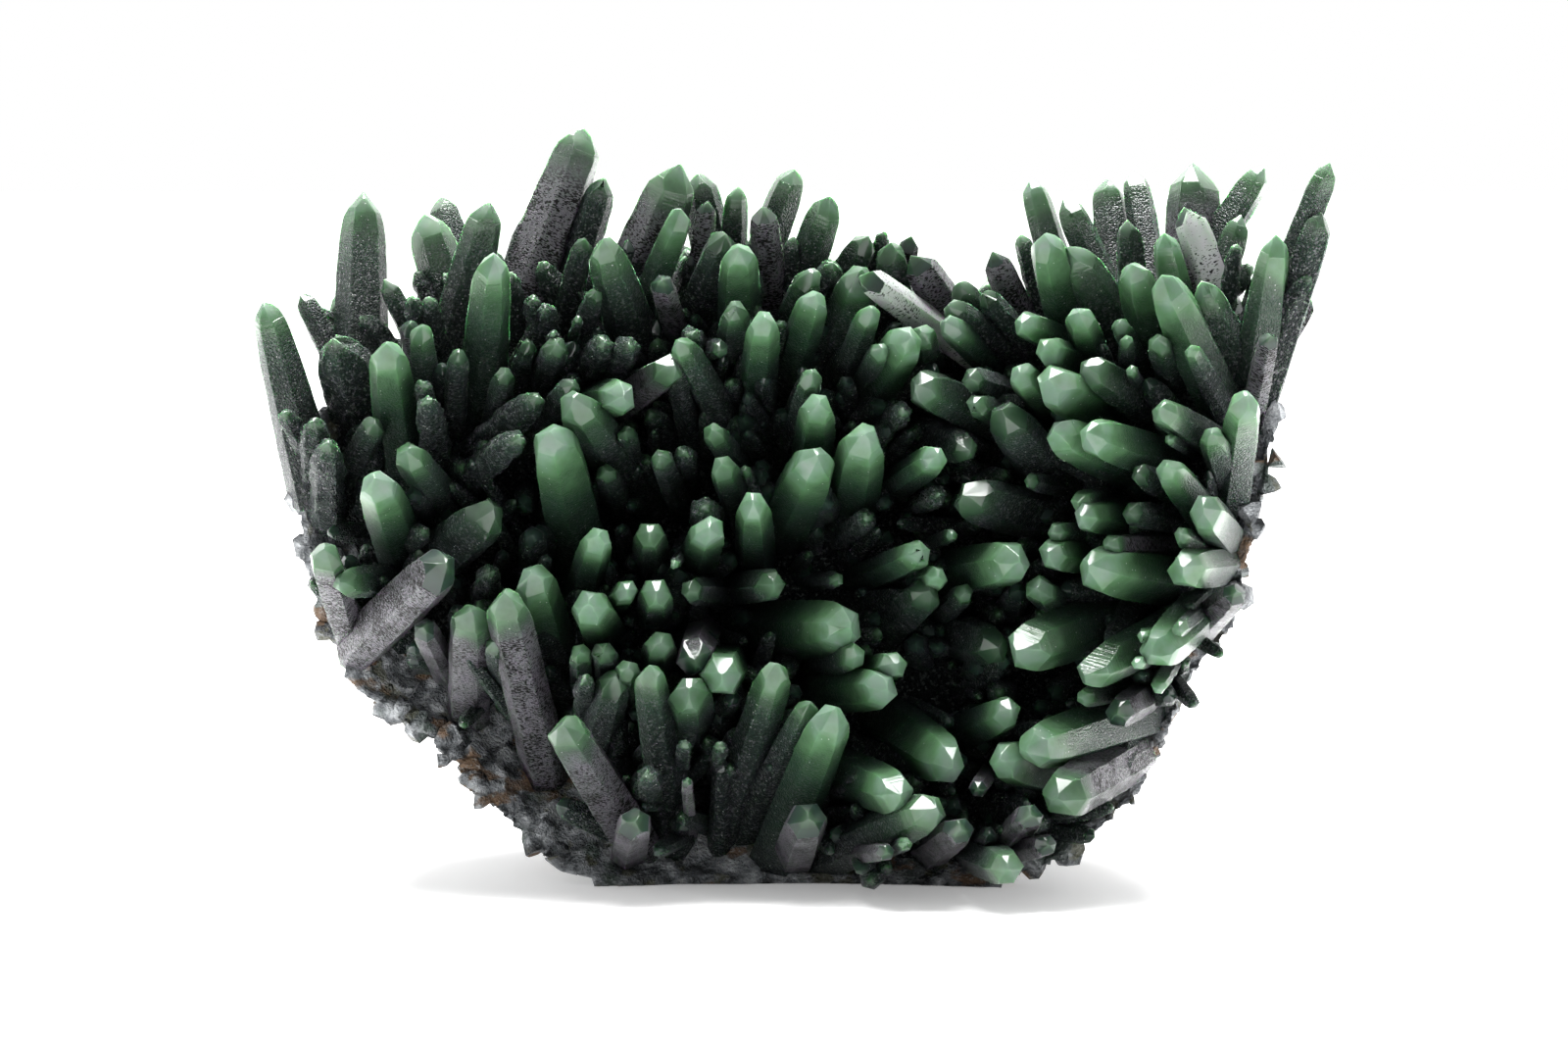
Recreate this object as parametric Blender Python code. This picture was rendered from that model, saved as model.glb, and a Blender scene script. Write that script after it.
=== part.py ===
"""Prase quartz: a cluster of green quartz crystals on a bowl-shaped plate of grey rock.

Units are metres, +Z is up, +X is to the viewer's right and the crystals face -Y.
The plate stands on the flat foot that its lower edge makes.
Two pieces are made: the matrix, and the crystals grown together on a thin common crust.
Crystals are placed by what the front view shows: where each tip is, where it disappears
towards its root, and how wide it looks. Depth comes from two smooth surfaces, the rock
that the roots stand on and the dome that the tips reach.
"""

import math
import random
from collections import namedtuple

import bmesh
import bpy
from mathutils import Matrix, Vector, noise

MM = 0.001

# Scale of the front view, and the eye it is seen from
PIXEL = MM / 7
CENTRE_PX = (815, 884)
VIEW_CENTRE_PX = (800, 533.5)
EYE_DISTANCE = 900 * MM
EYE_ELEVATION = math.radians(4)

# The rock that the roots stand on: deepest behind the middle, forward at the foot and the sides
BOWL_DEPTH = 10 * MM
BOWL_MID_HEIGHT = 50 * MM
FOOT_FORWARD = 32 * MM
LEFT_FORWARD = 16 * MM
LEFT_REACH = 75 * MM
RIGHT_FORWARD = 30 * MM
RIGHT_REACH = 70 * MM

# The dome of the tips, measured forward from the rock
DOME_HEIGHT = 34 * MM
DOME_RIM = 4 * MM
DOME_CENTRE_Z = 42 * MM
DOME_HALF_WIDTH = 88 * MM
DOME_HALF_HEIGHT = 66 * MM
LONGEST_CRYSTAL = 46 * MM
SHORTEST_CRYSTAL = 9 * MM

# Plate and crust
PLATE_THICK = 15 * MM
FOOT_THICK = 47 * MM
FOOT_HEIGHT = 45 * MM
PLATE_BULGE = 8 * MM
ROCK_ROUGH = 3.6 * MM
CRUST_THICK = 4 * MM
CRUST_ROUGH = 1.6 * MM
CRUST_SUNK = 3 * MM
CONTACT_GAP = 0.42 * MM
LOWEST_CRYSTAL = 0.5 * MM
OUTLINE_CENTRE_PX = (815, 560)
FOOT_PX = 894
BACK_EDGE = 0.94
WALL_ROWS = (0.3, 0.68)
WALL_ROUGH = 1.8 * MM
ROOTED_WITHIN = 0.93
SPOKES = 42
CRUST_SPOKES = 28
RINGS = (0.95, 0.87, 0.74, 0.54, 0.3)
CRUST_RINGS = (0.9, 0.68, 0.38)

# Shape of a crystal: its width as corner radii, how far the tip faces run down its edges,
# how far the tip stands off the middle, and how flat a slab-like one is
ACROSS = 1.76
TIP_STEEPNESS = 1.05
TIP_LEAN = 0.22
SLAB_FLATNESS = 0.6

# From the middle of the front view to the middle of the whole specimen's footprint
HOME = Vector((1.06, 9.55, 0.0)) * MM

# Crystals that lean back over the top of the plate, behind those the front view shows
BACK_CRYSTALS = 18
BACK_ROOTED_WITHIN = 0.975
BACK_ROOT_FORWARD = 1.2 * MM
BACK_FROM = 20
BACK_TO = 162

GREEN = (0.055, 0.13, 0.075, 1)
ROCK = (0.16, 0.165, 0.16, 1)

Reading = namedtuple("Reading", "tip_x tip_y foot_x foot_y tip_wide foot_wide back look")

# Each row is one crystal in pixels of the 1600 x 1067 front view: tip x, tip y, foot x, foot y,
# width at the tip, width at the foot, then how far it stands behind the dome in millimetres
# and what kind of crystal it is.
CROWN = [
    Reading(371, 195, 369, 360, 42, 56, 8, "green"),
    Reading(449, 201, 478, 300, 34, 38, 16, "dark"),
    Reading(432, 218, 465, 320, 44, 40, 9, "green"),
    Reading(500, 206, 450, 390, 36, 42, 3, "green"),
    Reading(504, 260, 492, 430, 36, 46, -4, "bright"),
    Reading(598, 131, 520, 330, 44, 57, 4, "striated"),
    Reading(617, 181, 570, 330, 28, 32, 12, "dark"),
    Reading(614, 245, 668, 400, 36, 55, 0, "green"),
    Reading(693, 166, 640, 300, 45, 64, 8, "striated"),
    Reading(712, 176, 735, 300, 33, 37, 16, "dark"),
    Reading(697, 214, 655, 320, 32, 36, 4, "white"),
    Reading(741, 238, 705, 330, 34, 38, 6, "dark"),
    Reading(753, 190, 748, 270, 22, 30, 16, "green"),
    Reading(754, 253, 755, 370, 33, 40, 0, "bright"),
    Reading(779, 211, 790, 350, 29, 42, 6, "grey"),
    Reading(811, 172, 775, 270, 32, 36, 12, "green"),
    Reading(848, 200, 808, 310, 32, 36, 9, "green"),
    Reading(887, 241, 850, 300, 30, 34, 14, "dark"),
    Reading(849, 269, 835, 310, 26, 28, 8, "crusted"),
    Reading(829, 279, 795, 350, 28, 32, 4, "green"),
    Reading(832, 301, 795, 420, 30, 34, 0, "bright"),
    Reading(880, 275, 840, 400, 42, 46, 4, "green"),
    Reading(878, 280, 975, 350, 38, 40, 3, "slab"),
    Reading(909, 247, 915, 300, 34, 36, 12, "dark"),
    Reading(930, 260, 975, 330, 34, 38, 11, "grey"),
    Reading(978, 288, 1010, 350, 30, 32, 9, "dark"),
    Reading(1012, 256, 1045, 330, 28, 32, 13, "grey"),
    Reading(1052, 182, 1078, 270, 30, 36, 12, "white"),
    Reading(1065, 239, 1100, 370, 42, 50, 0, "bright"),
    Reading(1086, 200, 1130, 300, 30, 34, 12, "green"),
    Reading(1088, 252, 1145, 350, 42, 46, 5, "green"),
    Reading(1129, 182, 1140, 290, 28, 34, 13, "green"),
    Reading(1156, 175, 1172, 270, 26, 28, 15, "green"),
    Reading(1151, 224, 1155, 310, 26, 30, 8, "dark"),
    Reading(1217, 165, 1215, 290, 46, 52, 10, "striated"),
    Reading(1208, 211, 1275, 350, 34, 36, 1, "slab"),
    Reading(1187, 237, 1205, 320, 34, 38, 2, "bright"),
    Reading(1184, 281, 1250, 420, 42, 48, -3, "bright"),
    Reading(1224, 287, 1275, 390, 30, 32, 5, "green"),
    Reading(1155, 269, 1180, 370, 34, 40, 2, "bright"),
    Reading(1267, 219, 1275, 320, 30, 32, 7, "green"),
    Reading(1291, 170, 1305, 270, 30, 34, 13, "green"),
    Reading(1357, 165, 1315, 270, 28, 36, 7, "green"),
    Reading(1349, 216, 1308, 430, 30, 34, 5, "dark"),
    Reading(1302, 239, 1300, 380, 32, 50, -2, "bright"),
]

LEFT_MASS = [
    Reading(270, 307, 305, 510, 34, 58, 0, "striated"),
    Reading(340, 345, 375, 430, 50, 60, 5, "crusted"),
    Reading(394, 350, 415, 500, 35, 45, -2, "bright"),
    Reading(430, 333, 442, 430, 25, 28, 3, "green"),
    Reading(436, 408, 452, 490, 22, 28, 0, "crusted"),
    Reading(383, 431, 350, 490, 26, 28, 5, "dark"),
    Reading(320, 430, 314, 500, 27, 30, 3, "crusted"),
    Reading(335, 452, 333, 530, 29, 34, 0, "crusted"),
    Reading(415, 460, 470, 530, 34, 38, -2, "green"),
    Reading(549, 406, 465, 480, 27, 32, 1, "crusted"),
    Reading(530, 447, 458, 505, 25, 30, -2, "crusted"),
    Reading(569, 351, 548, 410, 25, 28, 3, "dark"),
    Reading(642, 352, 612, 402, 26, 28, 3, "crusted"),
    Reading(675, 286, 700, 365, 25, 28, 4, "grey"),
    Reading(688, 372, 615, 425, 34, 38, 1, "striated"),
    Reading(636, 405, 588, 412, 36, 34, -3, "bright"),
    Reading(583, 408, 665, 520, 44, 50, -4, "green"),
    Reading(562, 440, 600, 610, 50, 62, -7, "bright"),
    Reading(692, 348, 775, 490, 27, 34, -1, "green"),
    Reading(751, 313, 745, 400, 27, 30, 0, "green"),
    Reading(780, 323, 770, 450, 33, 40, -4, "bright"),
    Reading(726, 439, 775, 505, 26, 28, -1, "green"),
    Reading(736, 474, 765, 545, 28, 30, -4, "green"),
    Reading(382, 488, 415, 580, 42, 48, -4, "bright"),
    Reading(505, 520, 420, 590, 46, 48, 1, "dark"),
    Reading(455, 574, 350, 665, 46, 48, -8, "slab"),
    Reading(347, 594, 415, 590, 30, 32, 0, "green"),
    Reading(330, 560, 343, 655, 36, 32, -2, "striated"),
    Reading(480, 624, 455, 745, 36, 38, -6, "striated"),
    Reading(515, 604, 560, 790, 42, 46, -10, "striated"),
    Reading(542, 584, 575, 700, 44, 48, -6, "bright"),
]

MIDDLE = [
    Reading(890, 316, 845, 430, 26, 30, 0, "green"),
    Reading(930, 343, 862, 440, 38, 42, -3, "bright"),
    Reading(900, 356, 865, 420, 22, 24, -1, "green"),
    Reading(940, 338, 950, 400, 28, 30, 3, "green"),
    Reading(829, 382, 800, 490, 24, 28, -2, "green"),
    Reading(836, 411, 825, 505, 34, 38, -5, "bright"),
    Reading(882, 443, 865, 545, 45, 48, -6, "bright"),
    Reading(957, 465, 890, 512, 30, 34, -4, "bright"),
    Reading(990, 460, 915, 436, 30, 34, 3, "dark"),
    Reading(934, 393, 1040, 440, 40, 44, 0, "green"),
    Reading(989, 386, 1050, 408, 25, 28, 2, "dark"),
    Reading(994, 412, 1040, 432, 27, 30, 1, "green"),
    Reading(1022, 418, 1095, 512, 44, 48, 1, "dark"),
    Reading(1040, 380, 1085, 432, 34, 38, 0, "bright"),
    Reading(967, 312, 1040, 368, 26, 30, 5, "dark"),
    Reading(964, 329, 1022, 382, 28, 32, 3, "white"),
    Reading(1042, 330, 1095, 354, 28, 32, 1, "bright"),
    Reading(1066, 356, 1112, 376, 30, 34, -1, "bright"),
    Reading(1070, 388, 1135, 426, 46, 50, -4, "bright"),
    Reading(1074, 440, 1185, 490, 42, 48, -3, "bright"),
    Reading(1101, 320, 1120, 380, 30, 32, 0, "bright"),
    Reading(1181, 346, 1202, 402, 24, 26, 3, "green"),
    Reading(1214, 355, 1255, 432, 17, 28, -2, "green"),
    Reading(1106, 373, 1190, 430, 34, 38, 1, "green"),
    Reading(1108, 442, 1205, 472, 40, 44, -7, "bright"),
    Reading(1183, 418, 1255, 462, 32, 36, -4, "green"),
    Reading(1236, 442, 1262, 505, 28, 32, 0, "green"),
    Reading(1272, 405, 1288, 515, 36, 42, -4, "bright"),
    Reading(1190, 475, 1240, 542, 30, 34, -3, "bright"),
    Reading(1228, 520, 1283, 548, 40, 42, -4, "white"),
    Reading(1100, 513, 1145, 508, 24, 26, -1, "green"),
    Reading(1103, 527, 1180, 532, 30, 32, -3, "bright"),
    Reading(1074, 543, 1155, 548, 22, 26, -1, "green"),
    Reading(1069, 565, 1140, 567, 34, 36, -3, "bright"),
    Reading(1110, 578, 1215, 592, 52, 54, -6, "bright"),
    Reading(1130, 556, 1215, 556, 20, 24, -3, "striated"),
    Reading(1207, 580, 1276, 577, 42, 44, -5, "white"),
    Reading(982, 505, 1095, 535, 44, 48, -1, "dark"),
    Reading(941, 562, 850, 602, 30, 34, -6, "bright"),
    Reading(957, 588, 925, 602, 24, 26, -3, "bright"),
    Reading(1041, 573, 935, 592, 46, 48, -9, "striated"),
    Reading(1058, 600, 1095, 630, 30, 32, -2, "green"),
    Reading(835, 466, 785, 560, 46, 52, -8, "bright"),
    Reading(768, 511, 772, 595, 34, 44, -8, "bright"),
    Reading(724, 538, 703, 595, 34, 38, -8, "bright"),
    Reading(663, 544, 665, 595, 32, 34, -4, "green"),
    Reading(611, 547, 590, 622, 34, 38, -7, "bright"),
    Reading(719, 518, 725, 545, 26, 28, -2, "crusted"),
    Reading(790, 597, 750, 600, 32, 34, -6, "dark"),
]

FRONT = [
    Reading(1036, 665, 1165, 618, 48, 50, -8, "white"),
    Reading(1107, 690, 1262, 628, 42, 46, -7, "white"),
    Reading(1176, 668, 1268, 612, 44, 46, -8, "bright"),
    Reading(1262, 604, 1245, 655, 24, 34, 2, "grey"),
    Reading(1140, 728, 1202, 712, 32, 34, -2, "grey"),
    Reading(1046, 766, 1182, 735, 46, 50, -7, "white"),
    Reading(1020, 775, 1085, 790, 40, 44, -5, "white"),
    Reading(1079, 815, 1178, 785, 44, 48, -8, "white"),
    Reading(1032, 725, 960, 757, 34, 38, -5, "white"),
    Reading(973, 783, 885, 722, 48, 52, -4, "white"),
    Reading(1020, 662, 950, 640, 38, 42, 4, "dark"),
    Reading(948, 603, 880, 662, 34, 38, 0, "dark"),
    Reading(915, 678, 870, 690, 30, 32, -7, "white"),
    Reading(868, 640, 748, 645, 52, 56, -10, "bright"),
    Reading(875, 668, 810, 682, 28, 32, -6, "green"),
    Reading(905, 703, 805, 707, 40, 44, -8, "bright"),
    Reading(737, 690, 746, 676, 46, 48, -12, "white"),
    Reading(708, 672, 719, 645, 38, 40, -8, "grey"),
    Reading(674, 655, 672, 702, 32, 34, -8, "green"),
    Reading(662, 679, 690, 865, 30, 36, -10, "green"),
    Reading(641, 681, 642, 735, 24, 26, -8, "green"),
    Reading(703, 703, 706, 765, 42, 40, -10, "green"),
    Reading(794, 678, 738, 850, 36, 42, -10, "green"),
    Reading(827, 717, 758, 852, 26, 32, -9, "green"),
    Reading(852, 722, 790, 880, 42, 48, -13, "bright"),
    Reading(600, 616, 625, 662, 44, 46, -9, "bright"),
    Reading(640, 602, 618, 628, 26, 28, -6, "bright"),
    Reading(670, 604, 665, 650, 34, 36, -8, "green"),
    Reading(616, 665, 620, 705, 26, 28, -7, "dark"),
    Reading(592, 665, 595, 705, 24, 26, -6, "green"),
    Reading(628, 690, 605, 780, 34, 38, -6, "dark"),
    Reading(573, 738, 655, 865, 42, 50, -12, "striated"),
    Reading(980, 846, 962, 905, 30, 36, -8, "grey"),
    Reading(1029, 886, 990, 870, 36, 34, -7, "green"),
    Reading(1052, 831, 1028, 892, 28, 30, -8, "grey"),
    Reading(1070, 862, 1035, 900, 24, 28, -3, "grey"),
    Reading(955, 824, 842, 878, 44, 46, -9, "green"),
    Reading(920, 812, 832, 775, 46, 50, -11, "white"),
    Reading(648, 838, 640, 872, 34, 38, -6, "grey"),
    Reading(825, 836, 812, 874, 40, 44, -7, "grey"),
]

# The rim of the rock plate in the front view, clockwise from the foot's left end
PLATE_OUTLINE_PX = (
    (584, 905), (566, 882), (539, 860), (508, 828), (479, 800), (453, 772), (430, 742), (408, 722),
    (371, 711), (346, 688), (334, 655), (322, 610), (308, 560), (300, 520), (298, 470), (310, 425),
    (350, 400), (410, 380), (500, 345), (600, 335), (700, 335), (800, 335), (880, 350), (960, 372),
    (1040, 372), (1100, 345), (1200, 325), (1290, 330), (1312, 370), (1311, 420), (1296, 480),
    (1284, 525), (1280, 560), (1270, 600), (1255, 645), (1222, 685), (1204, 720), (1190, 748),
    (1178, 792), (1150, 824), (1128, 852), (1090, 872), (1062, 888), (1048, 905),
)

# The edge of the crystal crust on it; the rock shows bare below and left of this line
CRUST_OUTLINE_PX = (
    (660, 885), (610, 850), (560, 800), (510, 760), (465, 725), (430, 695), (390, 682), (355, 668),
    (340, 630), (325, 590), (312, 550), (306, 510), (304, 470), (318, 430), (352, 405), (410, 386),
    (500, 352), (600, 341), (700, 341), (800, 341), (880, 356), (960, 378), (1040, 378), (1100, 351),
    (1200, 331), (1286, 336), (1306, 372), (1304, 420), (1290, 480), (1279, 525), (1274, 560),
    (1264, 600), (1248, 640), (1216, 680), (1197, 718), (1184, 746), (1172, 788), (1144, 818),
    (1122, 845), (1086, 866), (1058, 880), (1030, 890), (850, 888), (760, 885),
)


def clear_scene():
    for thing in list(bpy.data.objects):
        bpy.data.objects.remove(thing, do_unlink=True)


def material(name, colour, roughness):
    made = bpy.data.materials.new(name)
    made.use_nodes = True
    made.diffuse_color = colour
    shader = made.node_tree.nodes["Principled BSDF"]
    shader.inputs["Base Color"].default_value = colour
    shader.inputs["Roughness"].default_value = roughness
    shader.inputs["Metallic"].default_value = 0.0
    return made


def piece(name, bm, look):
    """Makes an object of this mesh, moved so that the specimen stands over the origin."""
    mesh = bpy.data.meshes.new(name)
    bmesh.ops.recalc_face_normals(bm, faces=bm.faces[:])
    bm.to_mesh(mesh)
    bm.free()
    made = bpy.data.objects.new(name, mesh)
    bpy.context.collection.objects.link(made)
    made.location = HOME
    made.data.materials.append(look)
    return made


def hide_as_tool(made):
    made.hide_render = True
    made.display_type = "WIRE"
    return made


def eye():
    """The eye's place, then the view's forward and up directions."""
    forward = Vector((0, math.cos(EYE_ELEVATION), -math.sin(EYE_ELEVATION)))
    up = Vector((0, math.sin(EYE_ELEVATION), math.cos(EYE_ELEVATION)))
    centre = Vector((
        (VIEW_CENTRE_PX[0] - CENTRE_PX[0]) * PIXEL,
        0,
        (CENTRE_PX[1] - VIEW_CENTRE_PX[1]) * PIXEL,
    ))
    return centre - forward * EYE_DISTANCE, forward, up


EYE, FORWARD, UP = eye()


def at_depth(px, py, depth):
    """The point seen at this pixel whose y is depth."""
    across = (px - VIEW_CENTRE_PX[0]) * PIXEL
    above = (VIEW_CENTRE_PX[1] - py) * PIXEL
    ray = FORWARD * EYE_DISTANCE + Vector((across, 0, 0)) + UP * above
    return EYE + ray * ((depth - EYE.y) / ray.y)


def rock_depth(x, z):
    """y of the surface that the crystals are rooted in."""
    below = max(0.0, BOWL_MID_HEIGHT - z) / BOWL_MID_HEIGHT
    side = x / RIGHT_REACH if x > 0 else x / LEFT_REACH
    forward = RIGHT_FORWARD if x > 0 else LEFT_FORWARD
    return BOWL_DEPTH - FOOT_FORWARD * below ** 2 - forward * side ** 2


def dome_depth(x, z):
    """y that the tips reach there."""
    out = (x / DOME_HALF_WIDTH) ** 2 + ((z - DOME_CENTRE_Z) / DOME_HALF_HEIGHT) ** 2
    return rock_depth(x, z) - DOME_RIM - DOME_HEIGHT * math.sqrt(max(0.0, 1 - out))


def seen_on(px, py, surface):
    """The point of a depth surface that is seen at a pixel."""
    point = at_depth(px, py, 0.0)
    for _ in range(6):
        point = at_depth(px, py, surface(point.x, point.z))
    return point


class Rim:
    """A closed outline on the rock, read as a distance from its centre in each XZ direction."""

    def __init__(self, pixels):
        self.centre = self.flat(OUTLINE_CENTRE_PX)
        self.points = [self.flat(pixel) - self.centre for pixel in pixels]

    @staticmethod
    def flat(pixel):
        point = seen_on(pixel[0], pixel[1], rock_depth)
        return Vector((point.x, 0.0 if pixel[1] > FOOT_PX else point.z))

    def reach(self, angle):
        way = Vector((math.cos(angle), math.sin(angle)))
        best = 0.0
        for start, end in zip(self.points, self.points[1:] + self.points[:1]):
            edge = end - start
            across = way.x * edge.y - way.y * edge.x
            if abs(across) < 1e-12:
                continue
            along = (start.x * edge.y - start.y * edge.x) / across
            share = (start.x * way.y - start.y * way.x) / across
            if along > 0 and -1e-9 <= share <= 1 + 1e-9:
                best = max(best, along)
        return best

    def inside(self, x, z):
        """0 at the centre, 1 on the rim."""
        off = Vector((x, z)) - self.centre
        return off.length / self.reach(math.atan2(off.y, off.x))


PLATE_RIM = Rim(PLATE_OUTLINE_PX)
CRUST_RIM = Rim(CRUST_OUTLINE_PX)


def rough(x, y, z, size):
    """Smooth noise from -1 to 1 with lumps of this size."""
    return noise.noise(Vector((x, y, z)) / size + Vector((3.7, 1.3, 8.1)))


def plate_front(x, z):
    """The rock's front: smooth under the crust, rough where it is bare."""
    bare = min(1.0, max(0.0, (CRUST_RIM.inside(x, z) - 0.98) / 0.12))
    lumps = rough(x, 0.0, z, 7 * MM) + 0.6 * rough(x, 1.0, z, 3.4 * MM)
    return rock_depth(x, z) - bare * ROCK_ROUGH * (0.4 + lumps)


def plate_back(x, z, share):
    """The rock's back: thick at the foot, thin at the rim, lumpy."""
    low = max(0.0, 1 - z / FOOT_HEIGHT)
    thick = PLATE_THICK + (FOOT_THICK - PLATE_THICK) * low ** 1.3 + PLATE_BULGE * (1 - share ** 2)
    lumps = rough(x, 2.0, z, 16 * MM) + 0.5 * rough(x, 3.0, z, 6 * MM)
    level = min(1.0, z / (8 * MM))
    return rock_depth(x, z) + thick + level * ROCK_ROUGH * 1.3 * lumps


def disc_solid(rim, spokes, rings, front, back, grow=0.0, wall=()):
    """A closed solid between two depth surfaces, inside an outline, as rings about its centre.

    wall has the rows of points between the two edges, as shares of the way back.
    grow moves the whole surface out a little and leaves its lumps as they are.
    """
    bm = bmesh.new()
    ways = []
    for k in range(spokes):
        angle = 2 * math.pi * k / spokes
        ways.append(Vector((math.cos(angle), 0, math.sin(angle))))
    centre = Vector((rim.centre.x, 0, rim.centre.y))
    reaches = [rim.reach(math.atan2(way.z, way.x)) for way in ways]
    on_foot = [(centre + way * reach).z < 1e-6 for way, reach in zip(ways, reaches)]

    def grown(point, k, deeper, edge):
        """The vertex for this point, moved out by grow, sideways too if it is on an edge."""
        out = point + Vector((0, deeper, 0))
        if edge:
            out += ways[k] * grow + Vector((0, deeper, 0))
        out.z = -grow if point.z <= 0 else max(out.z, -grow)
        return bm.verts.new(out)

    def sheet(surface, edge, deeper):
        rows = []
        for share in (edge,) + rings:
            row = []
            for k in range(spokes):
                spot = centre + ways[k] * reaches[k] * share
                spot.z = 0.0 if share == edge and on_foot[k] else max(spot.z, 0.0)
                spot.y = surface(spot.x, spot.z, share)
                row.append(spot)
            rows.append(row)
        points = [
            [grown(spot, k, deeper, row is rows[0]) for k, spot in enumerate(row)] for row in rows
        ]
        tip = bm.verts.new((centre.x, surface(centre.x, centre.z, 0.0) + deeper, centre.z))
        for outer, inner in zip(points, points[1:]):
            for k in range(spokes):
                after = (k + 1) % spokes
                bm.faces.new((outer[k], outer[after], inner[after], inner[k]))
        for k in range(spokes):
            bm.faces.new((points[-1][k], points[-1][(k + 1) % spokes], tip))
        return rows[0], points[0]

    near_row, near = sheet(front, 1.0, -grow)
    far_row, far = sheet(back, BACK_EDGE if wall else 1.0, grow)
    belts = [near]
    for way in wall:
        belt = []
        for k in range(spokes):
            point = near_row[k].lerp(far_row[k], way)
            if point.z > 0:
                lumps = rough(*point, 9 * MM) + 0.6 * rough(*point, 4 * MM)
                point += ways[k] * WALL_ROUGH * lumps
                point.z = max(point.z, 0.0)
            belt.append(grown(point, k, 0.0, True))
        belts.append(belt)
    belts.append(far)
    for outer, inner in zip(belts, belts[1:]):
        for k in range(spokes):
            after = (k + 1) % spokes
            bm.faces.new((outer[k], outer[after], inner[after], inner[k]))
    return bm


def plate_mesh(grow):
    """The rock, or a slightly larger one that clears the room between rock and crust."""

    def front(x, z, share):
        return plate_front(x, z)

    return disc_solid(PLATE_RIM, SPOKES, RINGS, front, plate_back, grow, WALL_ROWS)


def crust_mesh():
    """The dark druse that joins the crystals."""

    def front(x, z, share):
        lumps = rough(x, 4.0, z, 8 * MM) + 0.6 * rough(x, 5.0, z, 4 * MM)
        return rock_depth(x, z) - CRUST_THICK * (1 - 0.55 * share ** 6) - CRUST_ROUGH * lumps

    def back(x, z, share):
        return rock_depth(x, z) + CRUST_SUNK

    return disc_solid(CRUST_RIM, CRUST_SPOKES, CRUST_RINGS, front, back)


def clip(bm, point, normal):
    """Cuts a convex solid off flat at a plane and closes it there."""
    everything = bm.verts[:] + bm.edges[:] + bm.faces[:]
    cut = bmesh.ops.bisect_plane(
        bm, geom=everything, dist=1e-8, plane_co=point, plane_no=normal, clear_outer=True
    )
    edges = [part for part in cut["geom_cut"] if isinstance(part, bmesh.types.BMEdge)]
    if len(edges) > 2:
        bmesh.ops.edgeloop_fill(bm, edges=edges)


def crystal_mesh(length, tip_wide, foot_wide, look, dice):
    """A six-sided quartz crystal along +Z: a tapering prism from the origin, and six faces to its tip."""
    bm = bmesh.new()
    tip_radius = min(tip_wide, 1.1 * foot_wide) / ACROSS
    foot_radius = foot_wide / ACROSS
    foot = []
    shoulder = []
    for side in range(6):
        angle = math.radians(60 * side + dice.uniform(-4, 4))
        out = Vector((math.cos(angle), math.sin(angle), 0)) * dice.uniform(0.92, 1.08)
        if look == "slab":
            out.y *= SLAB_FLATNESS
        drop = tip_radius * TIP_STEEPNESS * (dice.uniform(0.8, 1.0) if side % 2 else dice.uniform(1.0, 1.3))
        height = length - min(drop, 0.6 * length)
        share = height / length
        foot.append(bm.verts.new(out * foot_radius))
        shoulder.append(bm.verts.new(out * (foot_radius + (tip_radius - foot_radius) * share)))
        shoulder[-1].co.z = height
    lean = tip_radius * TIP_LEAN
    tip = bm.verts.new((dice.uniform(-lean, lean), dice.uniform(-lean, lean), length))
    for side in range(6):
        after = (side + 1) % 6
        bm.faces.new((foot[side], foot[after], shoulder[after], shoulder[side]))
        bm.faces.new((shoulder[side], shoulder[after], tip))
    bm.faces.new(foot[::-1])
    return bm


def standing(root, tip, roll):
    """Turns a crystal from +Z to point from root to tip."""
    turn = (tip - root).to_track_quat("Z", "Y").to_matrix().to_4x4()
    return Matrix.Translation(root) @ turn @ Matrix.Rotation(roll, 4, "Z")


def rooted(reading):
    """The root: the foot's place on the rock, or further along the crystal if that is off the crust."""
    away = Vector((reading.foot_x - reading.tip_x, reading.foot_y - reading.tip_y))
    for step in range(24):
        px = reading.foot_x + away.x * 0.08 * step
        py = reading.foot_y + away.y * 0.08 * step
        root = seen_on(px, py, rock_depth)
        if CRUST_RIM.inside(root.x, root.z) <= ROOTED_WITHIN:
            return root
    root = seen_on(reading.foot_x, reading.foot_y, rock_depth)
    middle = CRUST_RIM.centre
    pull = ROOTED_WITHIN / CRUST_RIM.inside(root.x, root.z)
    x = middle.x + (root.x - middle.x) * pull
    z = middle.y + (root.z - middle.y) * pull
    return Vector((x, rock_depth(x, z), z))


def placed(reading):
    """(root, tip) of a crystal, from where the front view shows its two ends."""
    tip = seen_on(reading.tip_x, reading.tip_y, lambda x, z: dome_depth(x, z) + reading.back * MM)
    root = rooted(reading)
    flat = math.hypot(tip.x - root.x, tip.z - root.z)
    deep = root.y - tip.y
    if math.hypot(flat, deep) > LONGEST_CRYSTAL:
        deep = math.sqrt(max(0.0, LONGEST_CRYSTAL ** 2 - flat ** 2))
        tip = at_depth(reading.tip_x, reading.tip_y, root.y - deep)
    if (tip - root).length < SHORTEST_CRYSTAL:
        tip = at_depth(reading.tip_x, reading.tip_y, root.y - SHORTEST_CRYSTAL)
    return root, tip


def add_crystal(bm, root, tip, tip_wide, foot_wide, look, dice):
    part = crystal_mesh((tip - root).length, tip_wide, foot_wide, look, dice)
    bmesh.ops.transform(part, matrix=standing(root, tip, dice.uniform(0, math.pi / 3)), verts=part.verts[:])
    clip(part, Vector((0, 0, LOWEST_CRYSTAL)), Vector((0, 0, -1)))
    holder = bpy.data.meshes.new("one crystal")
    part.to_mesh(holder)
    part.free()
    bm.from_mesh(holder)
    bpy.data.meshes.remove(holder)


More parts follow.
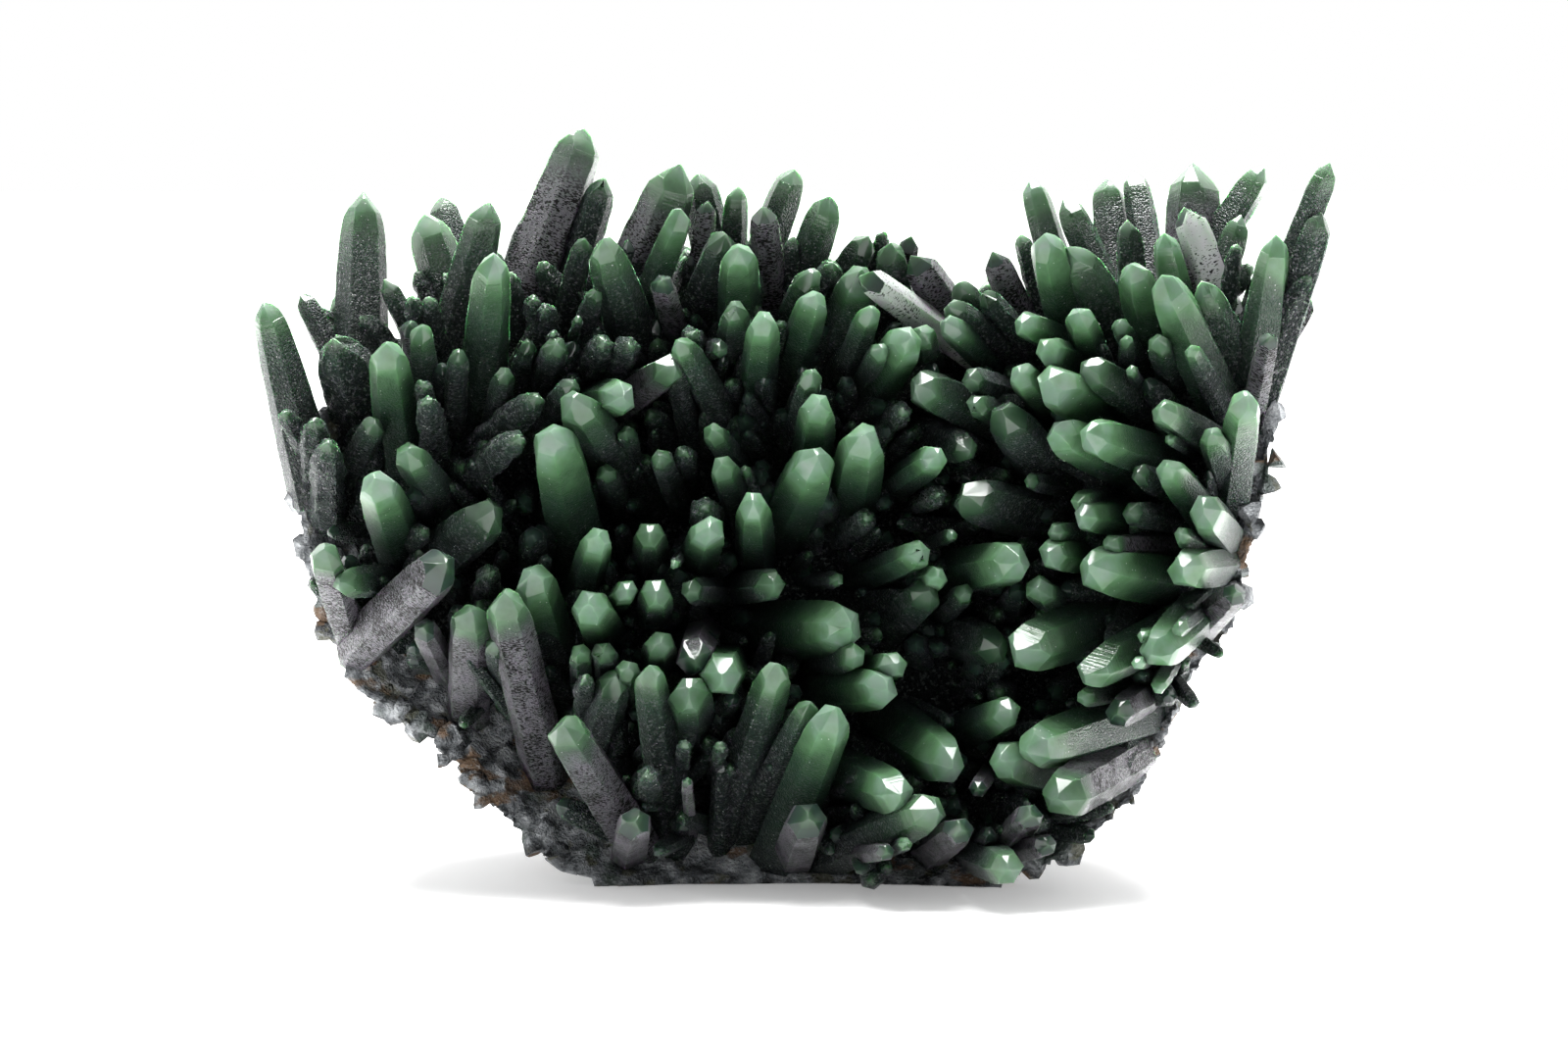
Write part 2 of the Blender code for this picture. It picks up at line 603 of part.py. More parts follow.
def add_seen_crystal(bm, reading):
    root, tip = placed(reading)
    near = (tip - EYE).dot(FORWARD) / EYE_DISTANCE * PIXEL
    dice = random.Random(reading.tip_x * 2000 + reading.tip_y)
    add_crystal(bm, root, tip, reading.tip_wide * near, reading.foot_wide * near, reading.look, dice)


def add_back_crystal(bm, number):
    """One of the crystals that lean back over the top of the plate."""
    dice = random.Random(number)
    angle = math.radians(BACK_FROM + (BACK_TO - BACK_FROM) * (number + dice.uniform(0.2, 0.8)) / BACK_CRYSTALS)
    reach = CRUST_RIM.reach(angle) * BACK_ROOTED_WITHIN
    x = CRUST_RIM.centre.x + reach * math.cos(angle)
    z = CRUST_RIM.centre.y + reach * math.sin(angle)
    root = Vector((x, rock_depth(x, z) - BACK_ROOT_FORWARD, z))
    lean = Vector((math.cos(angle) * dice.uniform(3, 9), dice.uniform(6, 15), dice.uniform(10, 15))) * MM
    wide = dice.uniform(4, 6.5) * MM
    add_crystal(bm, root, root + lean, wide * 0.85, wide, "dark", dice)


def keep_main_body(made):
    """Applies the object's modifiers and drops the loose chips that the cut leaves at the rim."""
    graph = bpy.context.evaluated_depsgraph_get()
    solid = bpy.data.meshes.new_from_object(made.evaluated_get(graph))
    bm = bmesh.new()
    bm.from_mesh(solid)
    bpy.data.meshes.remove(solid)
    bodies = []
    unseen = set(bm.verts)
    while unseen:
        body = {unseen.pop()}
        fresh = list(body)
        while fresh:
            vert = fresh.pop()
            near = {link.other_vert(vert) for link in vert.link_edges} - body
            body |= near
            fresh.extend(near)
        unseen -= body
        bodies.append(body)
    bodies.sort(key=len)
    chips = [vert for body in bodies[:-1] for vert in body]
    bmesh.ops.delete(bm, geom=chips, context="VERTS")
    made.modifiers.clear()
    bm.to_mesh(made.data)
    bm.free()


def build():
    clear_scene()
    rock = material("matrix rock", ROCK, 0.75)
    green = material("green quartz", GREEN, 0.3)
    piece("matrix", plate_mesh(0.0), rock)
    room = hide_as_tool(piece("room for the matrix", plate_mesh(CONTACT_GAP), rock))

    prisms = bmesh.new()
    for reading in CROWN + LEFT_MASS + MIDDLE + FRONT:
        add_seen_crystal(prisms, reading)
    for number in range(BACK_CRYSTALS):
        add_back_crystal(prisms, number)
    all_prisms = hide_as_tool(piece("prisms", prisms, green))

    crystals = piece("crystals", crust_mesh(), green)
    grown = crystals.modifiers.new("grown together", "BOOLEAN")
    grown.operation = "UNION"
    grown.solver = "EXACT"
    grown.use_self = True
    grown.object = all_prisms
    seated = crystals.modifiers.new("seated on the rock", "BOOLEAN")
    seated.operation = "DIFFERENCE"
    seated.solver = "MANIFOLD"
    seated.object = room
    keep_main_body(crystals)
    for tool in (all_prisms, room):
        bpy.data.objects.remove(tool, do_unlink=True)


build()
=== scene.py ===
"""Prase quartz specimen: the finish of every crystal, of the druse between them and of the rock.

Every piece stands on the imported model's frame: metres, +Z up, the crystals face -Y.
Each crystal is placed by the same front-view readings and the same two depth surfaces as the
solids, so it lies in its own solid. Here it gets its bevels, growth steps and uneven tip, and
the smaller crystals are added that grow between the large ones.
"""

import math
import random
from collections import namedtuple

import bmesh
import bpy
from mathutils import Matrix, Vector, noise


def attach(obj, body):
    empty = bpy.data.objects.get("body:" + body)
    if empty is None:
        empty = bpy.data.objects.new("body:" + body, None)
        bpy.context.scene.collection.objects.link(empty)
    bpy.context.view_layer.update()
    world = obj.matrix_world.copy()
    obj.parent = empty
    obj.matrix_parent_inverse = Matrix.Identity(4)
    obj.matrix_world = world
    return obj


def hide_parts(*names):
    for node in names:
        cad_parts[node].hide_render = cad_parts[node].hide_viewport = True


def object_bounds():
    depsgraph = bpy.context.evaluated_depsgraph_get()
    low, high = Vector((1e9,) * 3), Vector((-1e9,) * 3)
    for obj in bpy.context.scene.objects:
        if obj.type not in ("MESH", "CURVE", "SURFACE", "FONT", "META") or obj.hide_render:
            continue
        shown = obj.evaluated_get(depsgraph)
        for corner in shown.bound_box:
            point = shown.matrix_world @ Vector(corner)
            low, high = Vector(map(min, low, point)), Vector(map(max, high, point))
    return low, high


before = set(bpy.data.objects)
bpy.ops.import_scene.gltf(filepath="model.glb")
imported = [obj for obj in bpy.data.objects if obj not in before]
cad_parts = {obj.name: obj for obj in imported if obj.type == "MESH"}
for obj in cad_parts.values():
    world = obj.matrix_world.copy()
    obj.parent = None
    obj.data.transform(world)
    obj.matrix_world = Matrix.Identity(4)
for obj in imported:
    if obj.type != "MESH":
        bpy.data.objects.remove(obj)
cad_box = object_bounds()

MM = 0.001

# Scale of the front view, and the eye it is seen from
PIXEL = MM / 7
CENTRE_PX = (815, 884)
VIEW_CENTRE_PX = (800, 533.5)
VIEW_WIDTH_PX = 1600
EYE_DISTANCE = 900 * MM
EYE_ELEVATION = math.radians(4)

# The rock that the roots stand on: deepest behind the middle, forward at the foot and the sides
BOWL_DEPTH = 10 * MM
BOWL_MID_HEIGHT = 50 * MM
FOOT_FORWARD = 32 * MM
LEFT_FORWARD = 16 * MM
LEFT_REACH = 75 * MM
RIGHT_FORWARD = 30 * MM
RIGHT_REACH = 70 * MM

# The dome of the tips, measured forward from the rock
DOME_HEIGHT = 34 * MM
DOME_RIM = 4 * MM
DOME_CENTRE_Z = 42 * MM
DOME_HALF_WIDTH = 88 * MM
DOME_HALF_HEIGHT = 66 * MM
LONGEST_CRYSTAL = 46 * MM
SHORTEST_CRYSTAL = 9 * MM
OUTLINE_CENTRE_PX = (815, 560)
FOOT_PX = 894
ROOTED_WITHIN = 0.95
# The rock is bare furthest in at the lower left, and crystals are rooted furthest out there
BARE_MIDDLE = math.radians(222)
ROOTED_MORE = 0.05
ROOT_STEP = 0.08
ROOT_STEPS = 24

# From the middle of the front view to the middle of the whole specimen's footprint
HOME = Vector((1.06, 9.55, 0.0)) * MM

Reading = namedtuple("Reading", "tip_x tip_y foot_x foot_y tip_wide foot_wide back look")

# Each row is one crystal in pixels of the 1600 x 1067 front view: tip x, tip y, foot x, foot y,
# width at the tip, width at the foot, then how far it stands behind the dome in millimetres
# and what kind of crystal it is.
CROWN = [
    Reading(371, 195, 369, 360, 42, 56, 8, "green"),
    Reading(449, 201, 478, 300, 34, 38, 16, "dark"),
    Reading(432, 218, 465, 320, 44, 40, 9, "green"),
    Reading(500, 206, 450, 390, 36, 42, 3, "green"),
    Reading(504, 260, 492, 430, 36, 46, -4, "bright"),
    Reading(598, 131, 520, 330, 44, 57, 4, "striated"),
    Reading(617, 181, 570, 330, 28, 32, 12, "dark"),
    Reading(597, 243, 575, 330, 20, 24, 8, "dark"),
    Reading(614, 245, 668, 400, 36, 55, 0, "green"),
    Reading(693, 166, 640, 300, 45, 64, 8, "striated"),
    Reading(712, 176, 735, 300, 33, 37, 16, "dark"),
    Reading(697, 214, 655, 320, 32, 36, 4, "white"),
    Reading(722, 205, 715, 270, 20, 24, 11, "grey"),
    Reading(741, 238, 705, 330, 34, 38, 6, "dark"),
    Reading(753, 190, 748, 270, 22, 30, 16, "green"),
    Reading(754, 253, 755, 370, 33, 40, 0, "bright"),
    Reading(779, 211, 790, 350, 29, 42, 6, "grey"),
    Reading(811, 172, 775, 270, 32, 36, 12, "green"),
    Reading(848, 200, 808, 310, 32, 36, 9, "green"),
    Reading(887, 241, 850, 300, 30, 34, 14, "dark"),
    Reading(849, 269, 835, 310, 26, 28, 8, "crusted"),
    Reading(829, 279, 795, 350, 28, 32, 4, "green"),
    Reading(832, 301, 795, 420, 30, 34, 0, "bright"),
    Reading(880, 275, 840, 400, 42, 46, 4, "green"),
    Reading(878, 280, 975, 350, 38, 40, 3, "slab"),
    Reading(909, 247, 915, 300, 34, 36, 12, "dark"),
    Reading(901, 236, 900, 270, 20, 22, 16, "crusted"),
    Reading(930, 241, 932, 290, 20, 22, 14, "grey"),
    Reading(930, 260, 975, 330, 34, 38, 11, "grey"),
    Reading(978, 288, 1010, 350, 30, 32, 9, "dark"),
    Reading(1003, 299, 1045, 350, 22, 24, 9, "dark"),
    Reading(1012, 256, 1045, 330, 28, 32, 13, "grey"),
    Reading(1041, 239, 1062, 310, 20, 22, 15, "dark"),
    Reading(1052, 182, 1078, 270, 30, 36, 12, "white"),
    Reading(1065, 239, 1100, 370, 42, 50, 0, "bright"),
    Reading(1086, 200, 1130, 300, 30, 34, 12, "green"),
    Reading(1088, 252, 1145, 350, 42, 46, 5, "green"),
    Reading(1129, 182, 1140, 290, 28, 34, 13, "green"),
    Reading(1156, 175, 1172, 270, 26, 28, 15, "green"),
    Reading(1151, 224, 1155, 310, 26, 30, 8, "dark"),
    Reading(1217, 165, 1215, 290, 46, 52, 10, "striated"),
    Reading(1208, 211, 1275, 350, 34, 36, 1, "slab"),
    Reading(1197, 224, 1230, 300, 16, 18, 6, "dark"),
    Reading(1187, 237, 1205, 320, 34, 38, 2, "bright"),
    Reading(1184, 281, 1250, 420, 42, 48, -3, "bright"),
    Reading(1224, 287, 1275, 390, 30, 32, 5, "green"),
    Reading(1155, 269, 1180, 370, 34, 40, 2, "bright"),
    Reading(1267, 219, 1275, 320, 30, 32, 7, "green"),
    Reading(1276, 212, 1290, 260, 14, 16, 12, "dark"),
    Reading(1291, 170, 1305, 270, 30, 34, 13, "green"),
    Reading(1357, 165, 1315, 270, 28, 36, 7, "green"),
    Reading(1349, 216, 1308, 430, 30, 34, 5, "dark"),
    Reading(1302, 239, 1300, 380, 32, 50, -2, "bright"),
    Reading(1317, 250, 1312, 370, 14, 16, 4, "green"),
    Reading(1337, 304, 1318, 380, 20, 26, 16, "grey"),
]

LEFT_MASS = [
    Reading(270, 307, 305, 510, 34, 58, 0, "green"),
    Reading(307, 299, 345, 370, 22, 24, 10, "dark"),
    Reading(312, 313, 345, 335, 14, 16, 12, "dark"),
    Reading(340, 345, 375, 430, 50, 60, 5, "crusted"),
    Reading(394, 350, 415, 500, 35, 45, -2, "bright"),
    Reading(430, 333, 442, 430, 25, 28, 3, "green"),
    Reading(418, 330, 425, 380, 20, 20, 6, "grey"),
    Reading(420, 303, 430, 345, 18, 20, 8, "crusted"),
    Reading(438, 304, 445, 345, 16, 18, 8, "crusted"),
    Reading(392, 285, 428, 355, 22, 26, 12, "dark"),
    Reading(468, 360, 462, 450, 19, 22, 3, "dark"),
    Reading(436, 408, 452, 490, 22, 28, 0, "crusted"),
    Reading(432, 393, 440, 440, 18, 20, 3, "crusted"),
    Reading(383, 431, 350, 490, 26, 28, 5, "dark"),
    Reading(290, 422, 295, 475, 16, 20, 3, "crusted"),
    Reading(320, 430, 314, 500, 27, 30, 3, "crusted"),
    Reading(335, 452, 333, 530, 29, 34, 0, "crusted"),
    Reading(415, 460, 470, 530, 34, 38, -2, "green"),
    Reading(549, 406, 465, 480, 27, 32, 1, "crusted"),
    Reading(530, 447, 458, 505, 25, 30, -2, "crusted"),
    Reading(543, 305, 555, 360, 18, 20, 7, "crusted"),
    Reading(556, 314, 564, 366, 18, 20, 6, "crusted"),
    Reading(564, 341, 568, 372, 10, 12, 4, "crusted"),
    Reading(569, 351, 548, 410, 25, 28, 3, "dark"),
    Reading(608, 297, 585, 375, 18, 22, 6, "dark"),
    Reading(590, 325, 578, 372, 10, 12, 5, "dark"),
    Reading(618, 349, 580, 402, 24, 26, 3, "crusted"),
    Reading(642, 352, 612, 402, 26, 28, 3, "crusted"),
    Reading(675, 286, 700, 365, 25, 28, 4, "grey"),
    Reading(688, 372, 615, 425, 34, 38, 1, "striated"),
    Reading(636, 405, 588, 412, 36, 34, -3, "bright"),
    Reading(585, 393, 530, 460, 24, 26, 0, "dark"),
    Reading(583, 408, 665, 520, 44, 50, -4, "green"),
    Reading(562, 440, 600, 610, 50, 62, -7, "bright"),
    Reading(692, 348, 775, 490, 27, 34, -1, "green"),
    Reading(687, 364, 712, 480, 22, 26, 2, "dark"),
    Reading(705, 342, 716, 370, 22, 24, 4, "crusted"),
    Reading(736, 357, 708, 354, 18, 18, 3, "dark"),
    Reading(751, 313, 745, 400, 27, 30, 0, "green"),
    Reading(780, 323, 770, 450, 33, 40, -4, "bright"),
    Reading(726, 439, 775, 505, 26, 28, -1, "green"),
    Reading(736, 474, 765, 545, 28, 30, -4, "green"),
    Reading(673, 466, 700, 530, 24, 26, -1, "dark"),
    Reading(697, 461, 702, 505, 20, 22, 2, "crusted"),
    Reading(760, 480, 775, 515, 14, 16, 2, "dark"),
    Reading(618, 480, 640, 540, 22, 26, 6, "dark"),
    Reading(638, 440, 650, 500, 20, 24, 5, "dark"),
    Reading(515, 380, 500, 450, 22, 26, 5, "dark"),
    Reading(540, 350, 520, 420, 20, 24, 8, "dark"),
    Reading(382, 488, 415, 580, 42, 48, -4, "bright"),
    Reading(505, 520, 420, 590, 46, 48, 1, "dark"),
    Reading(500, 583, 490, 630, 22, 26, 2, "crusted"),
    Reading(455, 574, 350, 665, 46, 48, -8, "grey"),
    Reading(347, 594, 415, 590, 30, 32, 0, "green"),
    Reading(330, 560, 343, 655, 36, 32, -2, "striated"),
    Reading(432, 640, 458, 690, 24, 26, -2, "grey"),
    Reading(480, 624, 455, 745, 36, 38, -6, "striated"),
    Reading(515, 604, 560, 790, 42, 46, -10, "striated"),
    Reading(542, 584, 575, 700, 44, 48, -6, "bright"),
]

MIDDLE = [
    Reading(890, 316, 845, 430, 26, 30, 0, "green"),
    Reading(930, 343, 862, 440, 38, 42, -3, "bright"),
    Reading(900, 356, 865, 420, 22, 24, -1, "green"),
    Reading(940, 338, 950, 400, 28, 30, 3, "green"),
    Reading(829, 382, 800, 490, 24, 28, -2, "green"),
    Reading(836, 411, 825, 505, 34, 38, -5, "bright"),
    Reading(882, 443, 865, 545, 45, 48, -6, "bright"),
    Reading(957, 465, 890, 512, 30, 34, -4, "bright"),
    Reading(922, 420, 885, 452, 20, 22, 0, "crusted"),
    Reading(990, 460, 915, 436, 30, 34, 3, "dark"),
    Reading(934, 393, 1040, 440, 40, 44, 0, "green"),
    Reading(989, 386, 1050, 408, 25, 28, 2, "dark"),
    Reading(994, 412, 1040, 432, 27, 30, 1, "green"),
    Reading(1022, 418, 1095, 512, 44, 48, 1, "dark"),
    Reading(1040, 380, 1085, 432, 34, 38, 0, "bright"),
    Reading(967, 312, 1040, 368, 26, 30, 5, "dark"),
    Reading(964, 329, 1022, 382, 28, 32, 3, "white"),
    Reading(1042, 330, 1095, 354, 28, 32, 1, "bright"),
    Reading(1066, 356, 1112, 376, 30, 34, -1, "bright"),
    Reading(1070, 388, 1135, 426, 46, 50, -4, "bright"),
    Reading(1074, 440, 1185, 490, 42, 48, -3, "bright"),
    Reading(1101, 320, 1120, 380, 30, 32, 0, "bright"),
    Reading(1142, 329, 1168, 382, 20, 22, 4, "green"),
    Reading(1150, 346, 1150, 398, 14, 16, 3, "green"),
    Reading(1154, 377, 1168, 405, 12, 14, 2, "green"),
    Reading(1181, 346, 1202, 402, 24, 26, 3, "green"),
    Reading(1214, 355, 1255, 432, 17, 28, -2, "green"),
    Reading(1106, 373, 1190, 430, 34, 38, 1, "green"),
    Reading(1108, 442, 1205, 472, 40, 44, -7, "bright"),
    Reading(1183, 418, 1255, 462, 32, 36, -4, "green"),
    Reading(1193, 448, 1225, 465, 12, 14, 0, "green"),
    Reading(1236, 442, 1262, 505, 28, 32, 0, "green"),
    Reading(1272, 405, 1288, 515, 36, 42, -4, "bright"),
    Reading(1296, 342, 1278, 425, 22, 26, 0, "grey"),
    Reading(1190, 475, 1240, 542, 30, 34, -3, "bright"),
    Reading(1228, 520, 1283, 548, 40, 42, -4, "white"),
    Reading(1160, 483, 1218, 512, 24, 26, 3, "dark"),
    Reading(1100, 513, 1145, 508, 24, 26, -1, "green"),
    Reading(1103, 527, 1180, 532, 30, 32, -3, "bright"),
    Reading(1152, 523, 1218, 536, 24, 26, 1, "dark"),
    Reading(1074, 543, 1155, 548, 22, 26, -1, "green"),
    Reading(1069, 565, 1140, 567, 34, 36, -3, "bright"),
    Reading(1110, 578, 1215, 592, 52, 54, -6, "bright"),
    Reading(1130, 556, 1215, 556, 20, 24, -3, "striated"),
    Reading(1204, 545, 1240, 572, 18, 20, -1, "green"),
    Reading(1207, 580, 1276, 577, 42, 44, -5, "white"),
    Reading(982, 505, 1095, 535, 44, 48, -1, "dark"),
    Reading(1050, 490, 1095, 500, 16, 20, 3, "dark"),
    Reading(941, 562, 850, 602, 30, 34, -6, "bright"),
    Reading(957, 588, 925, 602, 24, 26, -3, "bright"),
    Reading(1041, 573, 935, 592, 46, 48, -9, "bright"),
    Reading(972, 545, 935, 562, 14, 16, 0, "green"),
    Reading(1058, 600, 1095, 630, 30, 32, -2, "green"),
    Reading(958, 505, 925, 522, 18, 20, 0, "crusted"),
    Reading(885, 527, 850, 560, 20, 22, 2, "crusted"),
    Reading(835, 466, 785, 560, 46, 52, -8, "bright"),
    Reading(768, 511, 772, 595, 34, 44, -8, "bright"),
    Reading(724, 538, 703, 595, 34, 38, -8, "bright"),
    Reading(688, 576, 702, 558, 10, 12, -8, "green"),
    Reading(663, 544, 665, 595, 32, 34, -4, "green"),
    Reading(611, 547, 590, 622, 34, 38, -7, "bright"),
    Reading(719, 518, 725, 545, 26, 28, -2, "crusted"),
    Reading(855, 592, 815, 596, 16, 18, -1, "dark"),
    Reading(790, 597, 750, 600, 32, 34, -6, "dark"),
    Reading(704, 603, 745, 606, 24, 26, -6, "dark"),
]

FRONT = [
    Reading(1036, 665, 1165, 618, 48, 50, -8, "white"),
    Reading(1107, 690, 1262, 628, 42, 46, -7, "white"),
    Reading(1176, 668, 1268, 612, 44, 46, -8, "bright"),
    Reading(1166, 650, 1195, 640, 14, 16, -7, "bright"),
    Reading(1160, 677, 1185, 668, 14, 16, -9, "white"),
    Reading(1203, 642, 1258, 622, 18, 20, -9, "green"),
    Reading(1182, 703, 1238, 666, 16, 18, -3, "bright"),
    Reading(1262, 604, 1245, 655, 24, 34, 2, "grey"),
    Reading(1104, 712, 1165, 700, 18, 22, -1, "green"),
    Reading(1140, 728, 1202, 712, 32, 34, -2, "grey"),
    Reading(1046, 766, 1182, 735, 46, 50, -7, "bright"),
    Reading(1020, 775, 1085, 790, 40, 44, -5, "bright"),
    Reading(1079, 815, 1178, 785, 44, 48, -8, "striated"),
    Reading(998, 805, 1012, 785, 18, 20, -2, "grey"),
    Reading(1032, 725, 960, 757, 34, 38, -5, "white"),
    Reading(973, 783, 885, 722, 48, 52, -4, "bright"),
    Reading(1020, 662, 950, 640, 38, 42, 4, "dark"),
    Reading(985, 604, 950, 642, 22, 24, 2, "dark"),
    Reading(948, 603, 880, 662, 34, 38, 0, "dark"),
    Reading(915, 678, 870, 690, 30, 32, -7, "white"),
    Reading(868, 640, 748, 645, 52, 56, -10, "bright"),
    Reading(875, 668, 810, 682, 28, 32, -6, "green"),
    Reading(905, 703, 805, 707, 40, 44, -8, "bright"),
    Reading(737, 690, 746, 676, 46, 48, -12, "white"),
    Reading(708, 672, 719, 645, 38, 40, -8, "grey"),
    Reading(674, 655, 672, 702, 32, 34, -8, "green"),
    Reading(662, 679, 690, 865, 30, 36, -10, "green"),
    Reading(641, 681, 642, 735, 24, 26, -8, "green"),
    Reading(703, 703, 706, 765, 42, 40, -10, "green"),
    Reading(794, 678, 738, 850, 36, 42, -10, "green"),
    Reading(827, 717, 758, 852, 26, 32, -9, "green"),
    Reading(852, 722, 790, 880, 42, 48, -13, "bright"),
    Reading(600, 616, 625, 662, 44, 46, -9, "bright"),
    Reading(640, 602, 618, 628, 26, 28, -6, "bright"),
    Reading(670, 604, 665, 650, 34, 36, -8, "green"),
    Reading(616, 665, 620, 705, 26, 28, -7, "dark"),
    Reading(592, 665, 595, 705, 24, 26, -6, "green"),
    Reading(597, 693, 596, 745, 20, 22, -7, "crusted"),
    Reading(628, 690, 605, 780, 34, 38, -6, "dark"),
    Reading(573, 738, 655, 865, 42, 50, -12, "striated"),
    Reading(980, 846, 962, 905, 30, 36, -8, "grey"),
    Reading(1029, 886, 990, 870, 36, 34, -7, "green"),
    Reading(1052, 831, 1028, 892, 28, 30, -8, "grey"),
    Reading(1070, 862, 1035, 900, 24, 28, -3, "grey"),
    Reading(955, 824, 842, 878, 44, 46, -9, "green"),
    Reading(925, 860, 898, 870, 14, 16, -8, "green"),
    Reading(920, 812, 832, 775, 46, 50, -11, "bright"),
    Reading(661, 791, 665, 825, 20, 22, -8, "crusted"),
    Reading(699, 760, 692, 800, 12, 14, -8, "crusted"),
    Reading(735, 762, 728, 800, 12, 14, -8, "crusted"),
    Reading(701, 797, 706, 852, 11, 14, -9, "grey"),
    Reading(648, 838, 640, 872, 34, 38, -6, "grey"),
    Reading(825, 836, 812, 874, 40, 44, -7, "grey"),
    Reading(505, 655, 520, 720, 22, 26, -2, "dark"),
    Reading(905, 870, 860, 893, 18, 22, -6, "grey"),
]

# The edge of the crystal crust on it; the rock shows bare below and left of this line
CRUST_OUTLINE_PX = (
    (660, 885), (610, 850), (560, 800), (510, 760), (465, 725), (430, 695), (390, 682), (355, 668),
    (340, 630), (325, 590), (312, 550), (306, 510), (304, 470), (318, 430), (352, 405), (410, 386),
    (500, 352), (600, 341), (700, 341), (800, 341), (880, 356), (960, 378), (1040, 378), (1100, 351),
    (1200, 331), (1286, 336), (1306, 372), (1304, 420), (1290, 480), (1279, 525), (1274, 560),
    (1264, 600), (1248, 640), (1216, 680), (1197, 718), (1184, 746), (1172, 788), (1144, 818),
    (1122, 845), (1086, 866), (1058, 880), (1030, 890), (850, 888), (760, 885),
)

# How each kind of crystal looks: how pale its tip is, over how many millimetres the green
# darkens, how granular and how glassy its sides are (glassy sides get a painted sheen and dark
# dashes), how high its growth steps and its lumps are in millimetres, and how much its end
# narrows like a bullet
Kind = namedtuple("Kind", "tone fade grain gloss steps lumps bullet")
KINDS = {
    "bright": Kind(1.0, 15, 0.45, 0.15, 0.05, 0.10, 1.0),
    "green": Kind(0.6, 9.5, 0.7, 0.15, 0.06, 0.12, 0.9),
    "dark": Kind(0.25, 6, 1.0, 0.1, 0.08, 0.14, 0.8),
    "white": Kind(0.8, 14, 0.45, 0.3, 0.05, 0.08, 0.8),
    "grey": Kind(0.15, 2.5, 0.35, 0.85, 0.08, 0.10, 0.6),
    "striated": Kind(0.55, 8, 0.35, 0.8, 0.14, 0.12, 0.6),
    "crusted": Kind(0.35, 2.2, 1.0, 0.0, 0.0, 0.35, 1.3),
    "slab": Kind(0.5, 1.5, 0.1, 1.0, 0.03, 0.05, 0.4),
    "small": Kind(0.12, 5, 1.0, 0.1, 0.05, 0.1, 1.2),
    "rock": Kind(0.0, 4, 0.8, 0.3, 0.05, 0.3, 0.6),
}

# Shape of a crystal: distance of its sides from the axis as a share of its width, how its sides
# vary, how steep the six faces of its tip are, and how far each is set back, in radii
SIDE_SHARE = 0.51
SIDES_VARY = (0.84, 1.1)
TIP_FACE_TILT = math.radians(38.2)
LARGE_FACE_BACK = (0.0, 0.25)
SMALL_FACE_BACK = (-0.35, -0.05)
MAIN_FACE_BACK = (0.0, 0.3)
SHINING_FACE_BACK = (-0.3, 0.12)
SLAB_FLATNESS = 0.62
# Its end narrows, first slowly and then quickly: by what share, over how many radii
NARROWS = ((0.18, 5.5), (0.50, 2.1))
SHARP_EDGE = math.radians(13)
# How far, in radians, a shining tip face may be tilted off its usual angle, and the share of the
# crystals of each kind that have one
SHINING_TILT = 0.36
SHINING_SHARES = {"white": 1.0, "bright": 0.5, "green": 0.45, "dark": 0.2}
# Lights that a white or glossy face is turned to: a tip face to the first, a broad side to it
# too, or to the second on the left of the specimen
KEY_LIGHT = Vector((0, 0.35, 1.3))
SIDE_LIGHT = Vector((-1.35, 0.1, 0.3))
BROAD_SIDE = 1
SIDE_LIT_LEFT_OF = -10 * MM
# The green reaches less far down a crystal thinner than this
FULL_FADE_WIDE = 6.5 * MM
BEVEL_SHARE = 0.05
# The dome that the soft inner light follows starts this many widths below the tip
DOME_DEEP = 0.75
# How far down its neighbours' greens the tip of a small filling crystal begins
SMALL_DARKER = 0.9
KNOBS = 0.32
# Rings of edges: the first step down from the tip, and how much longer each next one is
RINGS = (0.5 * MM, 1.1)
KNOBBY_RINGS = (1.1 * MM, 1.13)
SMALL_RINGS = (1.4 * MM, 1.5)
STRIP_HALF_ANGLE = 11


def eye():
    """The eye's place, then the view's forward and up directions."""
    forward = Vector((0, math.cos(EYE_ELEVATION), -math.sin(EYE_ELEVATION)))
    up = Vector((0, math.sin(EYE_ELEVATION), math.cos(EYE_ELEVATION)))
    centre = Vector((
        (VIEW_CENTRE_PX[0] - CENTRE_PX[0]) * PIXEL,
        0,
        (CENTRE_PX[1] - VIEW_CENTRE_PX[1]) * PIXEL,
    ))
    return centre - forward * EYE_DISTANCE, forward, up


EYE, FORWARD, UP = eye()


def at_depth(px, py, depth):
    """The point seen at this pixel whose y is depth."""
    across = (px - VIEW_CENTRE_PX[0]) * PIXEL
    above = (VIEW_CENTRE_PX[1] - py) * PIXEL
    ray = FORWARD * EYE_DISTANCE + Vector((across, 0, 0)) + UP * above
    return EYE + ray * ((depth - EYE.y) / ray.y)


def rock_depth(x, z):
    """y of the surface that the crystals are rooted in."""
    below = max(0.0, BOWL_MID_HEIGHT - z) / BOWL_MID_HEIGHT
    side = x / RIGHT_REACH if x > 0 else x / LEFT_REACH
    forward = RIGHT_FORWARD if x > 0 else LEFT_FORWARD
    return BOWL_DEPTH - FOOT_FORWARD * below ** 2 - forward * side ** 2


def dome_depth(x, z):
    """y that the tips reach there."""
    out = (x / DOME_HALF_WIDTH) ** 2 + ((z - DOME_CENTRE_Z) / DOME_HALF_HEIGHT) ** 2
    return rock_depth(x, z) - DOME_RIM - DOME_HEIGHT * math.sqrt(max(0.0, 1 - out))


def seen_on(px, py, surface):
    """The point of a depth surface that is seen at a pixel."""
    point = at_depth(px, py, 0.0)
    for _ in range(6):
        point = at_depth(px, py, surface(point.x, point.z))
    return point


